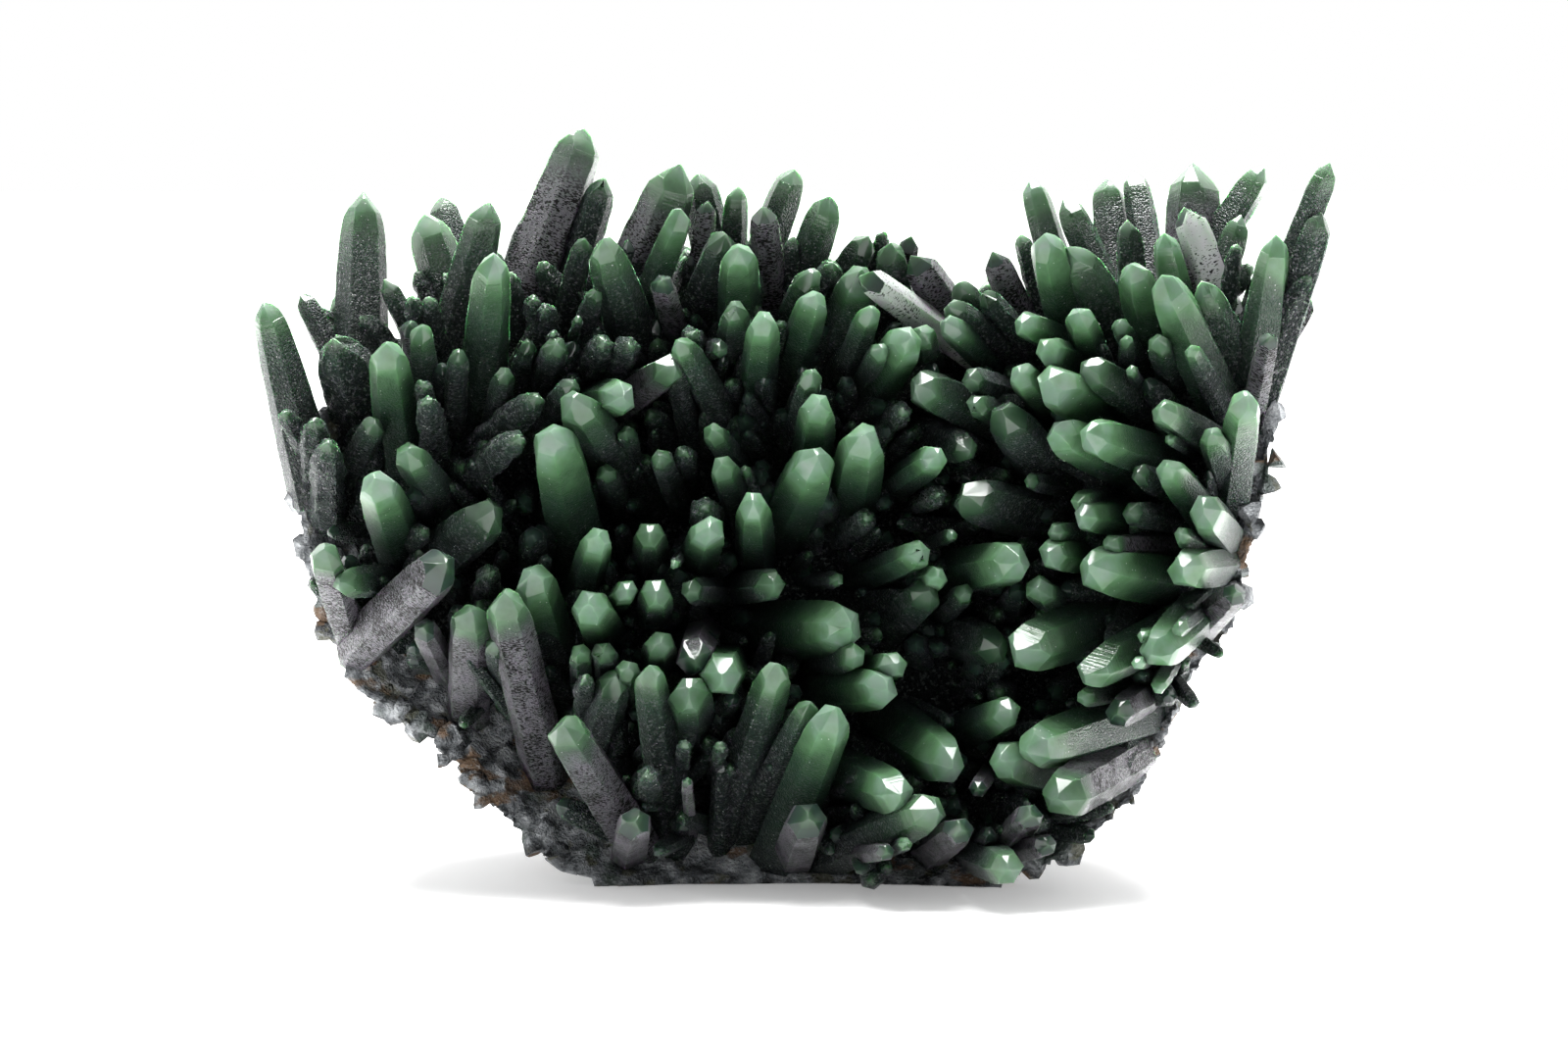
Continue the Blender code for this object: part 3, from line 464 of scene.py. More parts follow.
class Rim:
    """A closed outline on the rock, read as a distance from its centre in each XZ direction."""

    def __init__(self, pixels):
        self.centre = self.flat(OUTLINE_CENTRE_PX)
        self.points = [self.flat(pixel) - self.centre for pixel in pixels]

    @staticmethod
    def flat(pixel):
        point = seen_on(pixel[0], pixel[1], rock_depth)
        return Vector((point.x, 0.0 if pixel[1] > FOOT_PX else point.z))

    def reach(self, angle):
        way = Vector((math.cos(angle), math.sin(angle)))
        best = 0.0
        for start, end in zip(self.points, self.points[1:] + self.points[:1]):
            edge = end - start
            across = way.x * edge.y - way.y * edge.x
            if abs(across) < 1e-12:
                continue
            along = (start.x * edge.y - start.y * edge.x) / across
            share = (start.x * way.y - start.y * way.x) / across
            if along > 0 and -1e-9 <= share <= 1 + 1e-9:
                best = max(best, along)
        return best

    def inside(self, x, z):
        """0 at the centre, 1 on the rim."""
        off = Vector((x, z)) - self.centre
        return off.length / self.reach(math.atan2(off.y, off.x))


CRUST_RIM = Rim(CRUST_OUTLINE_PX)


def rough(point, size, lane=0.0):
    """Smooth noise from -1 to 1 with lumps of this size."""
    return noise.noise(point / size + Vector((3.7, 1.3, 8.1 + lane)))


def bareness(angle):
    """1 in the direction where the rock is bare furthest in, falling to 0 a quarter turn away."""
    return max(0.0, math.cos(angle - BARE_MIDDLE)) ** 3


def rooted_within(point):
    off = Vector((point.x, point.z)) - CRUST_RIM.centre
    return ROOTED_WITHIN + ROOTED_MORE * bareness(math.atan2(off.y, off.x))


def rooted(reading):
    """The root: the foot's place on the rock, or further along the crystal if that is off the crust."""
    away = Vector((reading.foot_x - reading.tip_x, reading.foot_y - reading.tip_y))
    for step in range(ROOT_STEPS):
        px = reading.foot_x + away.x * ROOT_STEP * step
        py = reading.foot_y + away.y * ROOT_STEP * step
        root = seen_on(px, py, rock_depth)
        if CRUST_RIM.inside(root.x, root.z) <= rooted_within(root):
            return root
    root = seen_on(reading.foot_x, reading.foot_y, rock_depth)
    middle = CRUST_RIM.centre
    pull = rooted_within(root) / CRUST_RIM.inside(root.x, root.z)
    x = middle.x + (root.x - middle.x) * pull
    z = middle.y + (root.z - middle.y) * pull
    return Vector((x, rock_depth(x, z), z))


def placed(reading):
    """(root, tip) of a crystal, from where the front view shows its two ends."""
    tip = seen_on(reading.tip_x, reading.tip_y, lambda x, z: dome_depth(x, z) + reading.back * MM)
    root = rooted(reading)
    flat = math.hypot(tip.x - root.x, tip.z - root.z)
    deep = root.y - tip.y
    if math.hypot(flat, deep) > LONGEST_CRYSTAL:
        deep = math.sqrt(max(0.0, LONGEST_CRYSTAL ** 2 - flat ** 2))
        tip = at_depth(reading.tip_x, reading.tip_y, root.y - deep)
    if (tip - root).length < SHORTEST_CRYSTAL:
        tip = at_depth(reading.tip_x, reading.tip_y, root.y - SHORTEST_CRYSTAL)
    return root, tip


def standing(root, tip, roll):
    """Turns a crystal from +Z to point from root to tip."""
    turn = (tip - root).to_track_quat("Z", "Y").to_matrix().to_4x4()
    return Matrix.Translation(root) @ turn @ Matrix.Rotation(roll, 4, "Z")


def everything(bm):
    return bm.verts[:] + bm.edges[:] + bm.faces[:]


def clip(bm, point, normal):
    """Cuts a convex solid off flat at a plane and closes it there."""
    cut = bmesh.ops.bisect_plane(
        bm, geom=everything(bm), dist=1e-8, plane_co=point, plane_no=normal, clear_outer=True
    )
    edges = [part for part in cut["geom_cut"] if isinstance(part, bmesh.types.BMEdge)]
    if len(edges) > 2:
        bmesh.ops.edgeloop_fill(bm, edges=edges)


def score(bm, point, normal):
    """Adds edges where a plane crosses, and takes nothing away."""
    bmesh.ops.bisect_plane(bm, geom=everything(bm), dist=1e-8, plane_co=point, plane_no=normal)


def prism(length, tip_side, foot_side, flat, dice):
    """Six sides along +Z that lean in towards the top, and the direction each side faces."""
    bm = bmesh.new()
    bmesh.ops.create_cube(bm, size=1.0)
    height = length + 2 * tip_side
    bmesh.ops.transform(bm, verts=bm.verts[:], matrix=Matrix.Diagonal((4 * foot_side, 4 * foot_side, height, 1)))
    bmesh.ops.translate(bm, verts=bm.verts[:], vec=(0, 0, height / 2))
    up = Vector((0, 0, 1))
    sides = []
    for side in range(6):
        angle = math.radians(60 * side + dice.uniform(-5, 5))
        out = Vector((math.cos(angle), math.sin(angle), 0))
        share = dice.uniform(*SIDES_VARY)
        if flat and side in (1, 4):
            share *= SLAB_FLATNESS
        slope = (foot_side - tip_side) * share / length
        clip(bm, out * foot_side * share, out + up * slope)
        sides.append(out)
    return bm, sides


def ring(bm, length, first, growth):
    step = first
    down = 0.0
    while down < length:
        score(bm, Vector((0, 0, length - down)), Vector((0, 0, 1)))
        down += step
        step *= growth


def crystal_form(length, tip_wide, foot_wide, kind, flat, main, main_tilt, dice, fine):
    """A crystal along +Z, from the origin to its tip, with flat tip faces and sides that curve in."""
    tip_side = SIDE_SHARE * min(tip_wide, 1.1 * foot_wide)
    foot_side = SIDE_SHARE * foot_wide
    bm, sides = prism(length, tip_side, foot_side, flat, dice)
    if not fine:
        ring(bm, length, *SMALL_RINGS)
    elif kind.steps:
        ring(bm, length, *RINGS)
    else:
        ring(bm, length, *KNOBBY_RINGS)
    radius = tip_side
    for share, over in NARROWS:
        narrows = share * kind.bullet
        radius *= 1 - narrows
        for vert in bm.verts:
            below = max(0.0, (length - vert.co.z) / (over * tip_side))
            if below < 1:
                thin = 1 - narrows * (1 - below) ** 2
                vert.co.x *= thin
                vert.co.y *= thin
    up = Vector((0, 0, 1))
    for number, out in enumerate(sides):
        back = dice.uniform(*(SMALL_FACE_BACK if number % 2 else LARGE_FACE_BACK))
        if number == main:
            back = dice.uniform(*(SHINING_FACE_BACK if main_tilt else MAIN_FACE_BACK))
        tilt = TIP_FACE_TILT + math.radians(dice.uniform(-3, 3))
        if number == main and main_tilt:
            tilt = main_tilt
        clip(bm, up * (length - back * radius), out * math.cos(tilt) + up * math.sin(tilt))
    highest = max(vert.co.z for vert in bm.verts)
    bmesh.ops.translate(bm, verts=bm.verts[:], vec=(0, 0, length - highest))
    return bm


def weather(bm, length, kind, offset):
    """Moves the surface in and out: growth steps on the sides, and lumps."""
    bm.normal_update()
    moves = []
    for vert in bm.verts:
        spot = vert.co / MM + offset
        depth = (length - vert.co.z) / MM
        side = max(0.0, 1 - abs(vert.normal.z) / 0.3)
        soft = kind.lumps * min(1.0, 0.25 + depth / 6)
        move = soft * noise.noise(spot / 3.6)
        if kind.steps and side:
            facing = Vector((vert.normal.x, vert.normal.y, 0)) * 2.2
            band = noise.noise(Vector((facing.x, facing.y, spot.z / 1.7)) + offset)
            move += side * kind.steps * round(band * 3.2) * 0.5
        if kind.grain == 1.0:
            move += 0.12 * kind.grain * noise.noise(spot / 1.1) * min(1.0, depth / 5)
        if not kind.steps:
            move += KNOBS * (1 - abs(noise.noise(spot / 1.5)) * 2.6)
        moves.append(vert.normal * move * MM)
    for vert, move in zip(bm.verts, moves):
        vert.co += move


def crystal_mesh(length, tip_wide, foot_wide, look, main, main_tilt, offset, dice, fine=True):
    """A crystal along +Z with narrow bevels and, if fine, a worn and stepped surface."""
    kind = KINDS[look]
    bm = crystal_form(length, tip_wide, foot_wide, kind, look == "slab", main, main_tilt, dice, fine)
    edges = [
        edge for edge in bm.edges
        if edge.is_manifold and edge.calc_face_angle() > SHARP_EDGE
        and max(vert.co.z for vert in edge.verts) > 0.2 * length
    ]
    bmesh.ops.bevel(
        bm, geom=edges, offset=BEVEL_SHARE * tip_wide, segments=2 if fine else 1, profile=0.6,
        affect="EDGES", clamp_overlap=True,
    )
    if fine:
        for number in range(6):
            turn = math.radians(30 * number + (STRIP_HALF_ANGLE if number % 2 else -STRIP_HALF_ANGLE))
            turn += math.radians(30 if number % 2 else 60)
            score(bm, Vector(), Vector((math.cos(turn), math.sin(turn), 0)))
        if not kind.steps:
            bmesh.ops.subdivide_edges(bm, edges=bm.edges[:], cuts=1, use_grid_fill=True)
        weather(bm, length, kind, offset)
    bm.normal_update()
    return bm


class Heap:
    """Many small solids gathered in one mesh, with what their material reads at each vertex."""

    def __init__(self):
        self.coords = []
        self.faces = []
        self.place = []
        self.growth = []
        self.habit = []
        self.rounded = []

    def add(self, bm, matrix, length, wide, look, offset, die):
        """growth: how far the green has darkened, slope of the surface, a number for this crystal."""
        kind = KINDS[look]
        fade = kind.fade * min(1.0, wide / FULL_FADE_WIDE)
        first = len(self.coords)
        dome = length - DOME_DEEP * wide
        turn = matrix.to_3x3()
        bm.verts.index_update()
        for vert in bm.verts:
            self.coords.append(matrix @ vert.co)
            self.place.append(vert.co / MM + offset)
            down = (length - vert.co.z) / MM / fade + (SMALL_DARKER if look == "small" else 0.0)
            slope = vert.normal.z if kind.steps else 0.0
            self.growth.append((down, slope, die))
            self.habit.append((kind.tone, kind.grain, kind.gloss))
            out = Vector((vert.co.x, vert.co.y, max(0.0, vert.co.z - dome)))
            self.rounded.append(turn @ out.normalized())
        for face in bm.faces:
            self.faces.append([first + vert.index for vert in face.verts])
        bm.free()

    def piece(self, name, look):
        mesh = bpy.data.meshes.new(name)
        mesh.from_pydata(inside_box(self.coords), [], self.faces)
        layers = {"place": self.place, "growth": self.growth, "habit": self.habit, "rounded": self.rounded}
        for label, values in layers.items():
            layer = mesh.attributes.new(label, "FLOAT_VECTOR", "POINT")
            layer.data.foreach_set("vector", [number for value in values for number in value])
        return finished(name, mesh, look)


def inside_box(coords):
    """Moves the points home, and keeps them inside the solids' box and off the floor."""
    low, high = cad_box
    kept = []
    for point in coords:
        spot = point + HOME
        kept.append([min(max(spot[k], low[k]), high[k]) for k in range(3)])
    return kept


def finished(name, mesh, look):
    """An object of this mesh with smooth bevels and flat faces."""
    mesh.polygons.foreach_set("use_smooth", [True] * len(mesh.polygons))
    made = bpy.data.objects.new(name, mesh)
    bpy.context.scene.collection.objects.link(made)
    made.data.materials.append(look)
    flatten = made.modifiers.new("flat faces", "WEIGHTED_NORMAL")
    flatten.weight = 80
    return made


def shining(root, tip, side):
    """The roll and tilt that turn one of the six sides from facing the view to facing the light."""
    light = KEY_LIGHT if side != BROAD_SIDE or tip.x > SIDE_LIT_LEFT_OF else SIDE_LIGHT
    toward = (light - tip).normalized() + (EYE - tip).normalized()
    local = standing(root, tip, 0.0).to_3x3().inverted() @ toward.normalized()
    tilt = min(max(math.asin(local.z), TIP_FACE_TILT - SHINING_TILT), TIP_FACE_TILT + SHINING_TILT)
    return math.atan2(local.y, local.x) - math.radians(60 * side), tilt


def crystal(heap, root, tip, tip_wide, foot_wide, look, dice, fine=True):
    """One crystal from root to tip."""
    length = (tip - root).length
    offset = Vector((dice.uniform(-90, 90), dice.uniform(-90, 90), dice.uniform(-90, 90)))
    main = dice.choice((0, 2, 4))
    roll = dice.uniform(0, math.pi / 3)
    main_tilt = None
    if dice.random() < SHINING_SHARES.get(look, 0.0):
        roll, main_tilt = shining(root, tip, main)
    if look in ("slab", "grey", "striated"):
        roll, _ = shining(root, tip, BROAD_SIDE)
    bm = crystal_mesh(length, tip_wide, foot_wide, look, main, main_tilt, offset, dice, fine)
    heap.add(bm, standing(root, tip, roll), length, tip_wide, look, offset, dice.random())


def seen_crystals(readings):
    heap = Heap()
    for reading in readings:
        root, tip = placed(reading)
        near = (tip - EYE).dot(FORWARD) / EYE_DISTANCE * PIXEL
        dice = random.Random(reading.tip_x * 2000 + reading.tip_y)
        crystal(heap, root, tip, reading.tip_wide * near, reading.foot_wide * near, reading.look, dice)
    return heap


# Crystals that lean back over the top of the plate, behind those the front view shows
BACK_CRYSTALS = 18
BACK_ROOTED = (0.93, 0.975)
KNOBBY_CRYSTALS = 50
BACK_ROOT_FORWARD = 1.2 * MM
BACK_FROM = 20
BACK_TO = 162

# Small crystals that fill the gaps: how many, their length as a share of their neighbour's,
# their width in millimetres and how far they lean away from it
SMALL_CRYSTALS = 700
SMALL_SHARE = (0.35, 0.72)
SMALL_WIDE = (2.0, 4.6)
SMALL_LEAN = 0.35

# The druse that the crystals stand in
DRUSE_SPOKES = 200
DRUSE_RINGS = 60
DRUSE_THICK = 4 * MM
DRUSE_SUNK = 3 * MM
DRUSE_WITHIN = 0.97
BARE_SHARE = 0.17

# The rock: mesh size, how high its lumps, broken faces and grains stand in millimetres
ROCK_VOXEL = 0.85 * MM
ROCK_LUMPS = 1.2
ROCK_CHIPS = 0.8
ROCK_GRAIN = 0.45
CHUNKS = 600
CHUNK_LONG = (2.2, 4.5)
CHUNK_WIDE = (1.6, 4.5)
CHUNK_SUNK = 0.9
BARE_FROM = 0.86


def rim_root(share, dice):
    """Where a crystal of the top edge is rooted, and its direction from the middle in XZ."""
    angle = math.radians(BACK_FROM + (BACK_TO - BACK_FROM) * share)
    reach = CRUST_RIM.reach(angle) * dice.uniform(*BACK_ROOTED)
    x = CRUST_RIM.centre.x + reach * math.cos(angle)
    z = CRUST_RIM.centre.y + reach * math.sin(angle)
    return Vector((x, rock_depth(x, z) - BACK_ROOT_FORWARD, z)), angle


def back_crystals():
    heap = Heap()
    for number in range(BACK_CRYSTALS):
        dice = random.Random(number)
        root, angle = rim_root((number + dice.uniform(0.2, 0.8)) / BACK_CRYSTALS, dice)
        lean = Vector((math.cos(angle) * dice.uniform(-2, 10), dice.uniform(3, 15), dice.uniform(6, 16))) * MM
        wide = dice.uniform(3.2, 6.8) * MM
        crystal(heap, root, root + lean, wide * 0.85, wide, "dark", dice)
    return heap


def knobby_crystals():
    heap = Heap()
    for number in range(KNOBBY_CRYSTALS):
        dice = random.Random(100 + number)
        root, angle = rim_root(dice.random(), dice)
        lean = Vector((math.cos(angle) * dice.uniform(-4, 12), dice.uniform(-6, 8), dice.uniform(8, 15))) * MM
        wide = dice.uniform(2.6, 4.8) * MM
        crystal(heap, root, root + lean, wide * 0.9, wide, "crusted", dice)
    return heap


def small_crystals(readings):
    """Crystals too small to show their roots, each grown along its nearest large neighbour."""
    heap = Heap()
    dice = random.Random(7)
    large = [placed(reading) for reading in readings]
    for _ in range(SMALL_CRYSTALS):
        angle = dice.uniform(0, 2 * math.pi)
        reach = CRUST_RIM.reach(angle) * 0.95 * math.sqrt(dice.random())
        x = CRUST_RIM.centre.x + reach * math.cos(angle)
        z = CRUST_RIM.centre.y + reach * math.sin(angle)
        root = Vector((x, rock_depth(x, z), z))
        near_root, near_tip = min(large, key=lambda ends: (ends[0] - root).length)
        axis = near_tip - near_root
        jitter = Vector((dice.gauss(0, 1), dice.gauss(0, 1), dice.gauss(0, 1))) * SMALL_LEAN / 1.7
        way = (axis.normalized() + jitter).normalized()
        length = max(6 * MM, axis.length * dice.uniform(*SMALL_SHARE))
        wide = dice.uniform(*SMALL_WIDE) * MM
        look = dice.choice(("small", "small", "crusted"))
        tip = root + way * length
        if tip.z < 2 * MM:
            continue
        crystal(heap, root, tip, 0.85 * wide, wide, look, dice, fine=False)
    return heap


def druse():
    """The dark granular crust between the crystals, as one closed solid."""
    bm = bmesh.new()
    centre = CRUST_RIM.centre
    front = []
    for ring in range(1, DRUSE_RINGS + 1):
        share = (ring / DRUSE_RINGS) ** 0.75
        row = []
        for spoke in range(DRUSE_SPOKES):
            angle = 2 * math.pi * spoke / DRUSE_SPOKES
            within = DRUSE_WITHIN - BARE_SHARE * bareness(angle)
            reach = CRUST_RIM.reach(angle) * share * within
            x = centre.x + reach * math.cos(angle)
            z = max(0.3 * MM, centre.y + reach * math.sin(angle))
            spot = Vector((x, 0, z))
            lumps = 1.2 * rough(spot, 6 * MM) + 0.9 * abs(rough(spot, 2.2 * MM, 5.0)) + 0.5 * rough(spot, 1.1 * MM)
            y = rock_depth(x, z) - DRUSE_THICK * (1 - 0.55 * share ** 6) - lumps * MM
            row.append(bm.verts.new((x, y, z)))
        front.append(row)
    tip = bm.verts.new((centre.x, rock_depth(centre.x, centre.y) - DRUSE_THICK, centre.y))
    back = [bm.verts.new((vert.co.x, rock_depth(vert.co.x, vert.co.z) + DRUSE_SUNK, vert.co.z)) for vert in front[-1]]
    for k in range(DRUSE_SPOKES):
        after = (k + 1) % DRUSE_SPOKES
        bm.faces.new((tip, front[0][k], front[0][after]))
        for inner, outer in zip(front, front[1:]):
            bm.faces.new((inner[k], outer[k], outer[after], inner[after]))
        bm.faces.new((front[-1][k], back[k], back[after], front[-1][after]))
    bm.faces.new(back[::-1])
    bmesh.ops.recalc_face_normals(bm, faces=bm.faces[:])
    heap = Heap()
    heap.add(bm, Matrix.Identity(4), 0.0, 1.0, "crusted", Vector(), 0.5)
    heap.growth = [(9.0, 0.0, 0.5) for _ in heap.growth]
    return heap


def smoothstep(low, high, value):
    share = min(1.0, max(0.0, (value - low) / (high - low)))
    return share * share * (3 - 2 * share)


def rock_relief(spot):
    """How far the rock stands out at a point in millimetres: lumps, broken facets and grain."""
    lumps = noise.noise(spot / 6) + 0.5 * noise.noise(spot / 2.7)
    near, points = noise.voronoi(spot / 4.2)
    facet = (spot / 4.2 - points[0]).dot(noise.cell_vector(points[0]) - Vector((0.5, 0.5, 0.5)))
    crack = smoothstep(0.0, 0.12, near[1] - near[0])
    grain = noise.noise(spot / 1.1)
    return ROCK_LUMPS * lumps + ROCK_CHIPS * (1.6 * facet + 0.6 * (crack - 1)) + ROCK_GRAIN * grain


def rock():
    """The matrix's own solid with a finer, broken surface."""
    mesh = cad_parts["matrix"].data.copy()
    mesh.materials.clear()
    made = bpy.data.objects.new("coarse rock", mesh)
    bpy.context.scene.collection.objects.link(made)
    remesh = made.modifiers.new("finer", "REMESH")
    remesh.mode = "VOXEL"
    remesh.voxel_size = ROCK_VOXEL
    graph = bpy.context.evaluated_depsgraph_get()
    fine = bpy.data.meshes.new_from_object(made.evaluated_get(graph))
    bpy.data.objects.remove(made)
    bm = bmesh.new()
    bm.from_mesh(fine)
    bm.normal_update()
    moves = []
    for vert in bm.verts:
        level = smoothstep(0.4, 3.0, vert.co.z / MM)
        moves.append(vert.normal * rock_relief(vert.co / MM) * level * MM)
    for vert, move in zip(bm.verts, moves):
        vert.co += move
        if vert.co.z < 0.9 * MM:
            vert.co.z = 0.0
    low, high = cad_box
    for vert in bm.verts:
        vert.co = [min(max(vert.co[k], low[k]), high[k]) for k in range(3)]
    bm.to_mesh(fine)
    bm.free()
    fine.name = "rock"
    return fine


def rock_chunks(surface):
    """Stubby grey quartz that stands on the bare rock round the crust and behind it."""
    heap = Heap()
    dice = random.Random(3)
    bare = []
    for vert in surface.vertices:
        spot = vert.co - HOME
        if spot.z > 1.5 * MM and CRUST_RIM.inside(spot.x, spot.z) > BARE_FROM:
            bare.append((spot, vert.normal.copy()))
    for _ in range(CHUNKS):
        spot, normal = dice.choice(bare)
        way = normal + Vector((dice.gauss(0, 0.5), dice.gauss(0, 0.5), dice.gauss(0, 0.5)))
        out = Vector((spot.x - CRUST_RIM.centre.x, 0, spot.z - CRUST_RIM.centre.y)).normalized()
        way = (way.normalized() + 0.3 * out).normalized()
        length = dice.uniform(*CHUNK_LONG) * MM
        wide = dice.uniform(*CHUNK_WIDE) * MM
        root = spot - way * CHUNK_SUNK * length
        crystal(heap, root, root + way * length, 0.85 * wide, wide, "rock", dice, fine=False)
    return heap


class Tree:
    """Shorthand for building a material's nodes."""

    def __init__(self, name):
        self.material = bpy.data.materials.new(name)
        self.material.use_nodes = True
        self.nodes = self.material.node_tree.nodes
        self.links = self.material.node_tree.links
        self.shader = self.nodes["Principled BSDF"]

    def join(self, value, socket):
        if isinstance(value, bpy.types.NodeSocket):
            self.links.new(value, socket)
        else:
            socket.default_value = value

    def node(self, kind, inputs=(), **settings):
        made = self.nodes.new(kind)
        for name, value in settings.items():
            setattr(made, name, value)
        for name, value in dict(inputs).items():
            self.join(value, made.inputs[name])
        return made

    def attribute(self, name):
        """The three numbers of a vertex attribute."""
        found = self.node("ShaderNodeAttribute", attribute_name=name)
        parts = self.node("ShaderNodeSeparateXYZ", {0: found.outputs["Vector"]})
        return found.outputs["Vector"], parts.outputs[0], parts.outputs[1], parts.outputs[2]

    def math(self, operation, first, second=0.0):
        return self.node("ShaderNodeMath", {0: first, 1: second}, operation=operation).outputs[0]

    def step(self, value, low, high):
        """0 below low, 1 above high, smooth between."""
        made = self.node("ShaderNodeMapRange", {"Value": value, "From Min": low, "From Max": high})
        made.interpolation_type = "SMOOTHSTEP"
        return made.outputs[0]

    def scaled(self, vector, x, y, z):
        return self.node("ShaderNodeMapping", {"Vector": vector, "Scale": (x, y, z)}).outputs[0]

    def noise(self, vector, scale, detail=2.0):
        made = self.node("ShaderNodeTexNoise", {"Vector": vector, "Scale": scale, "Detail": detail})
        return made.outputs["Fac"]

    def cells(self, vector, scale, output="Distance", feature="F1"):
        made = self.node("ShaderNodeTexVoronoi", {"Vector": vector, "Scale": scale}, feature=feature)
        return made.outputs[output]

    def ramp(self, value, *stops):
        made = self.node("ShaderNodeValToRGB", {"Fac": value})
        elements = made.color_ramp.elements
        while len(elements) < len(stops):
            elements.new(0.5)
        for element, (position, colour) in zip(elements, stops):
            element.position = position
            element.color = (*colour, 1)
        return made.outputs["Color"]

    def mix(self, share, first, second):
        made = self.node("ShaderNodeMix", data_type="RGBA")
        self.join(share, made.inputs["Factor"])
        for name, value in (("A", first), ("B", second)):
            socket = [found for found in made.inputs if found.name == name and found.type == "RGBA"][0]
            self.join(value if isinstance(value, bpy.types.NodeSocket) else (*value, 1), socket)
        return [found for found in made.outputs if found.type == "RGBA"][0]

    def blend(self, share, first, second):
        made = self.node("ShaderNodeMix", data_type="FLOAT")
        self.join(share, made.inputs[0])
        self.join(first, made.inputs[2])
        self.join(second, made.inputs[3])
        return made.outputs[0]

    def bump(self, height, distance, normal=None):
        made = self.node("ShaderNodeBump", {"Height": height, "Distance": distance})
        if normal is not None:
            self.join(normal, made.inputs["Normal"])
        return made.outputs["Normal"]

    def tilted(self, normal, cell_colour, amount):
        """The normal turned another way in each cell, like tiny crystal faces."""
        away = self.node("ShaderNodeVectorMath", {0: cell_colour, 1: (0.5, 0.5, 0.5)}, operation="SUBTRACT")
        away = self.node("ShaderNodeVectorMath", {0: away.outputs[0], "Scale": amount}, operation="SCALE")
        both = self.node("ShaderNodeVectorMath", {0: normal, 1: away.outputs[0]}, operation="ADD")
        return self.node("ShaderNodeVectorMath", {0: both.outputs[0]}, operation="NORMALIZE").outputs[0]

    def toward(self, normal, other, share):
        """A normal turned part of the way to another."""
        both = self.node("ShaderNodeMix", data_type="VECTOR")
        self.join(share, both.inputs[0])
        self.join(normal, both.inputs[4])
        self.join(other, both.inputs[5])
        return self.node("ShaderNodeVectorMath", {0: both.outputs[1]}, operation="NORMALIZE").outputs[0]


# The green from a pale tip down to the black body, and the same for a darker crystal.
# The first number of each stop is how far down it is, 1 being three times the crystal's fade.
GREEN_REACH = 3.0
PALE_GREEN = (
    (0.0, (0.115, 0.175, 0.135)),
    (0.05, (0.092, 0.165, 0.108)),
    (0.12, (0.064, 0.138, 0.066)),
    (0.22, (0.028, 0.068, 0.031)),
    (0.34, (0.014, 0.040, 0.021)),
    (0.50, (0.008, 0.022, 0.013)),
    (0.75, (0.006, 0.015, 0.011)),
    (1.0, (0.004, 0.009, 0.008)),
)
DEEP_GREEN = (
    (0.0, (0.035, 0.055, 0.038)),
    (0.05, (0.028, 0.052, 0.031)),
    (0.12, (0.016, 0.038, 0.021)),
    (0.22, (0.010, 0.024, 0.015)),
    (0.34, (0.013, 0.028, 0.021)),
    (0.50, (0.011, 0.021, 0.018)),
    (0.75, (0.009, 0.017, 0.015)),
    (1.0, (0.007, 0.013, 0.012)),
)
GRAIN_COLOUR = (0.15, 0.16, 0.16)
GRAIN_TILT = 0.7
# How far the light inside the milky quartz follows a smooth round form instead of the facets
ROUND_SHARE = 0.6
# How much of a plain polished surface's shine the faces have
POLISH = 0.68
# Colour of the painted glints: pale specks painted on the sides in place of tiny reflections of the lights
PAINTED_GLINT_COLOUR = (0.50, 0.52, 0.50)
# Painted sheen: the glassy sides are painted lilac grey, and a slab's a paler grey, in place of the lights'
# reflection
LILAC_PAINTED_SHEEN = (0.11, 0.106, 0.12)
SLAB_PAINTED_SHEEN = (0.42, 0.44, 0.43)
MILKY = 0.8
MILKY_REACH = 2.8 * MM


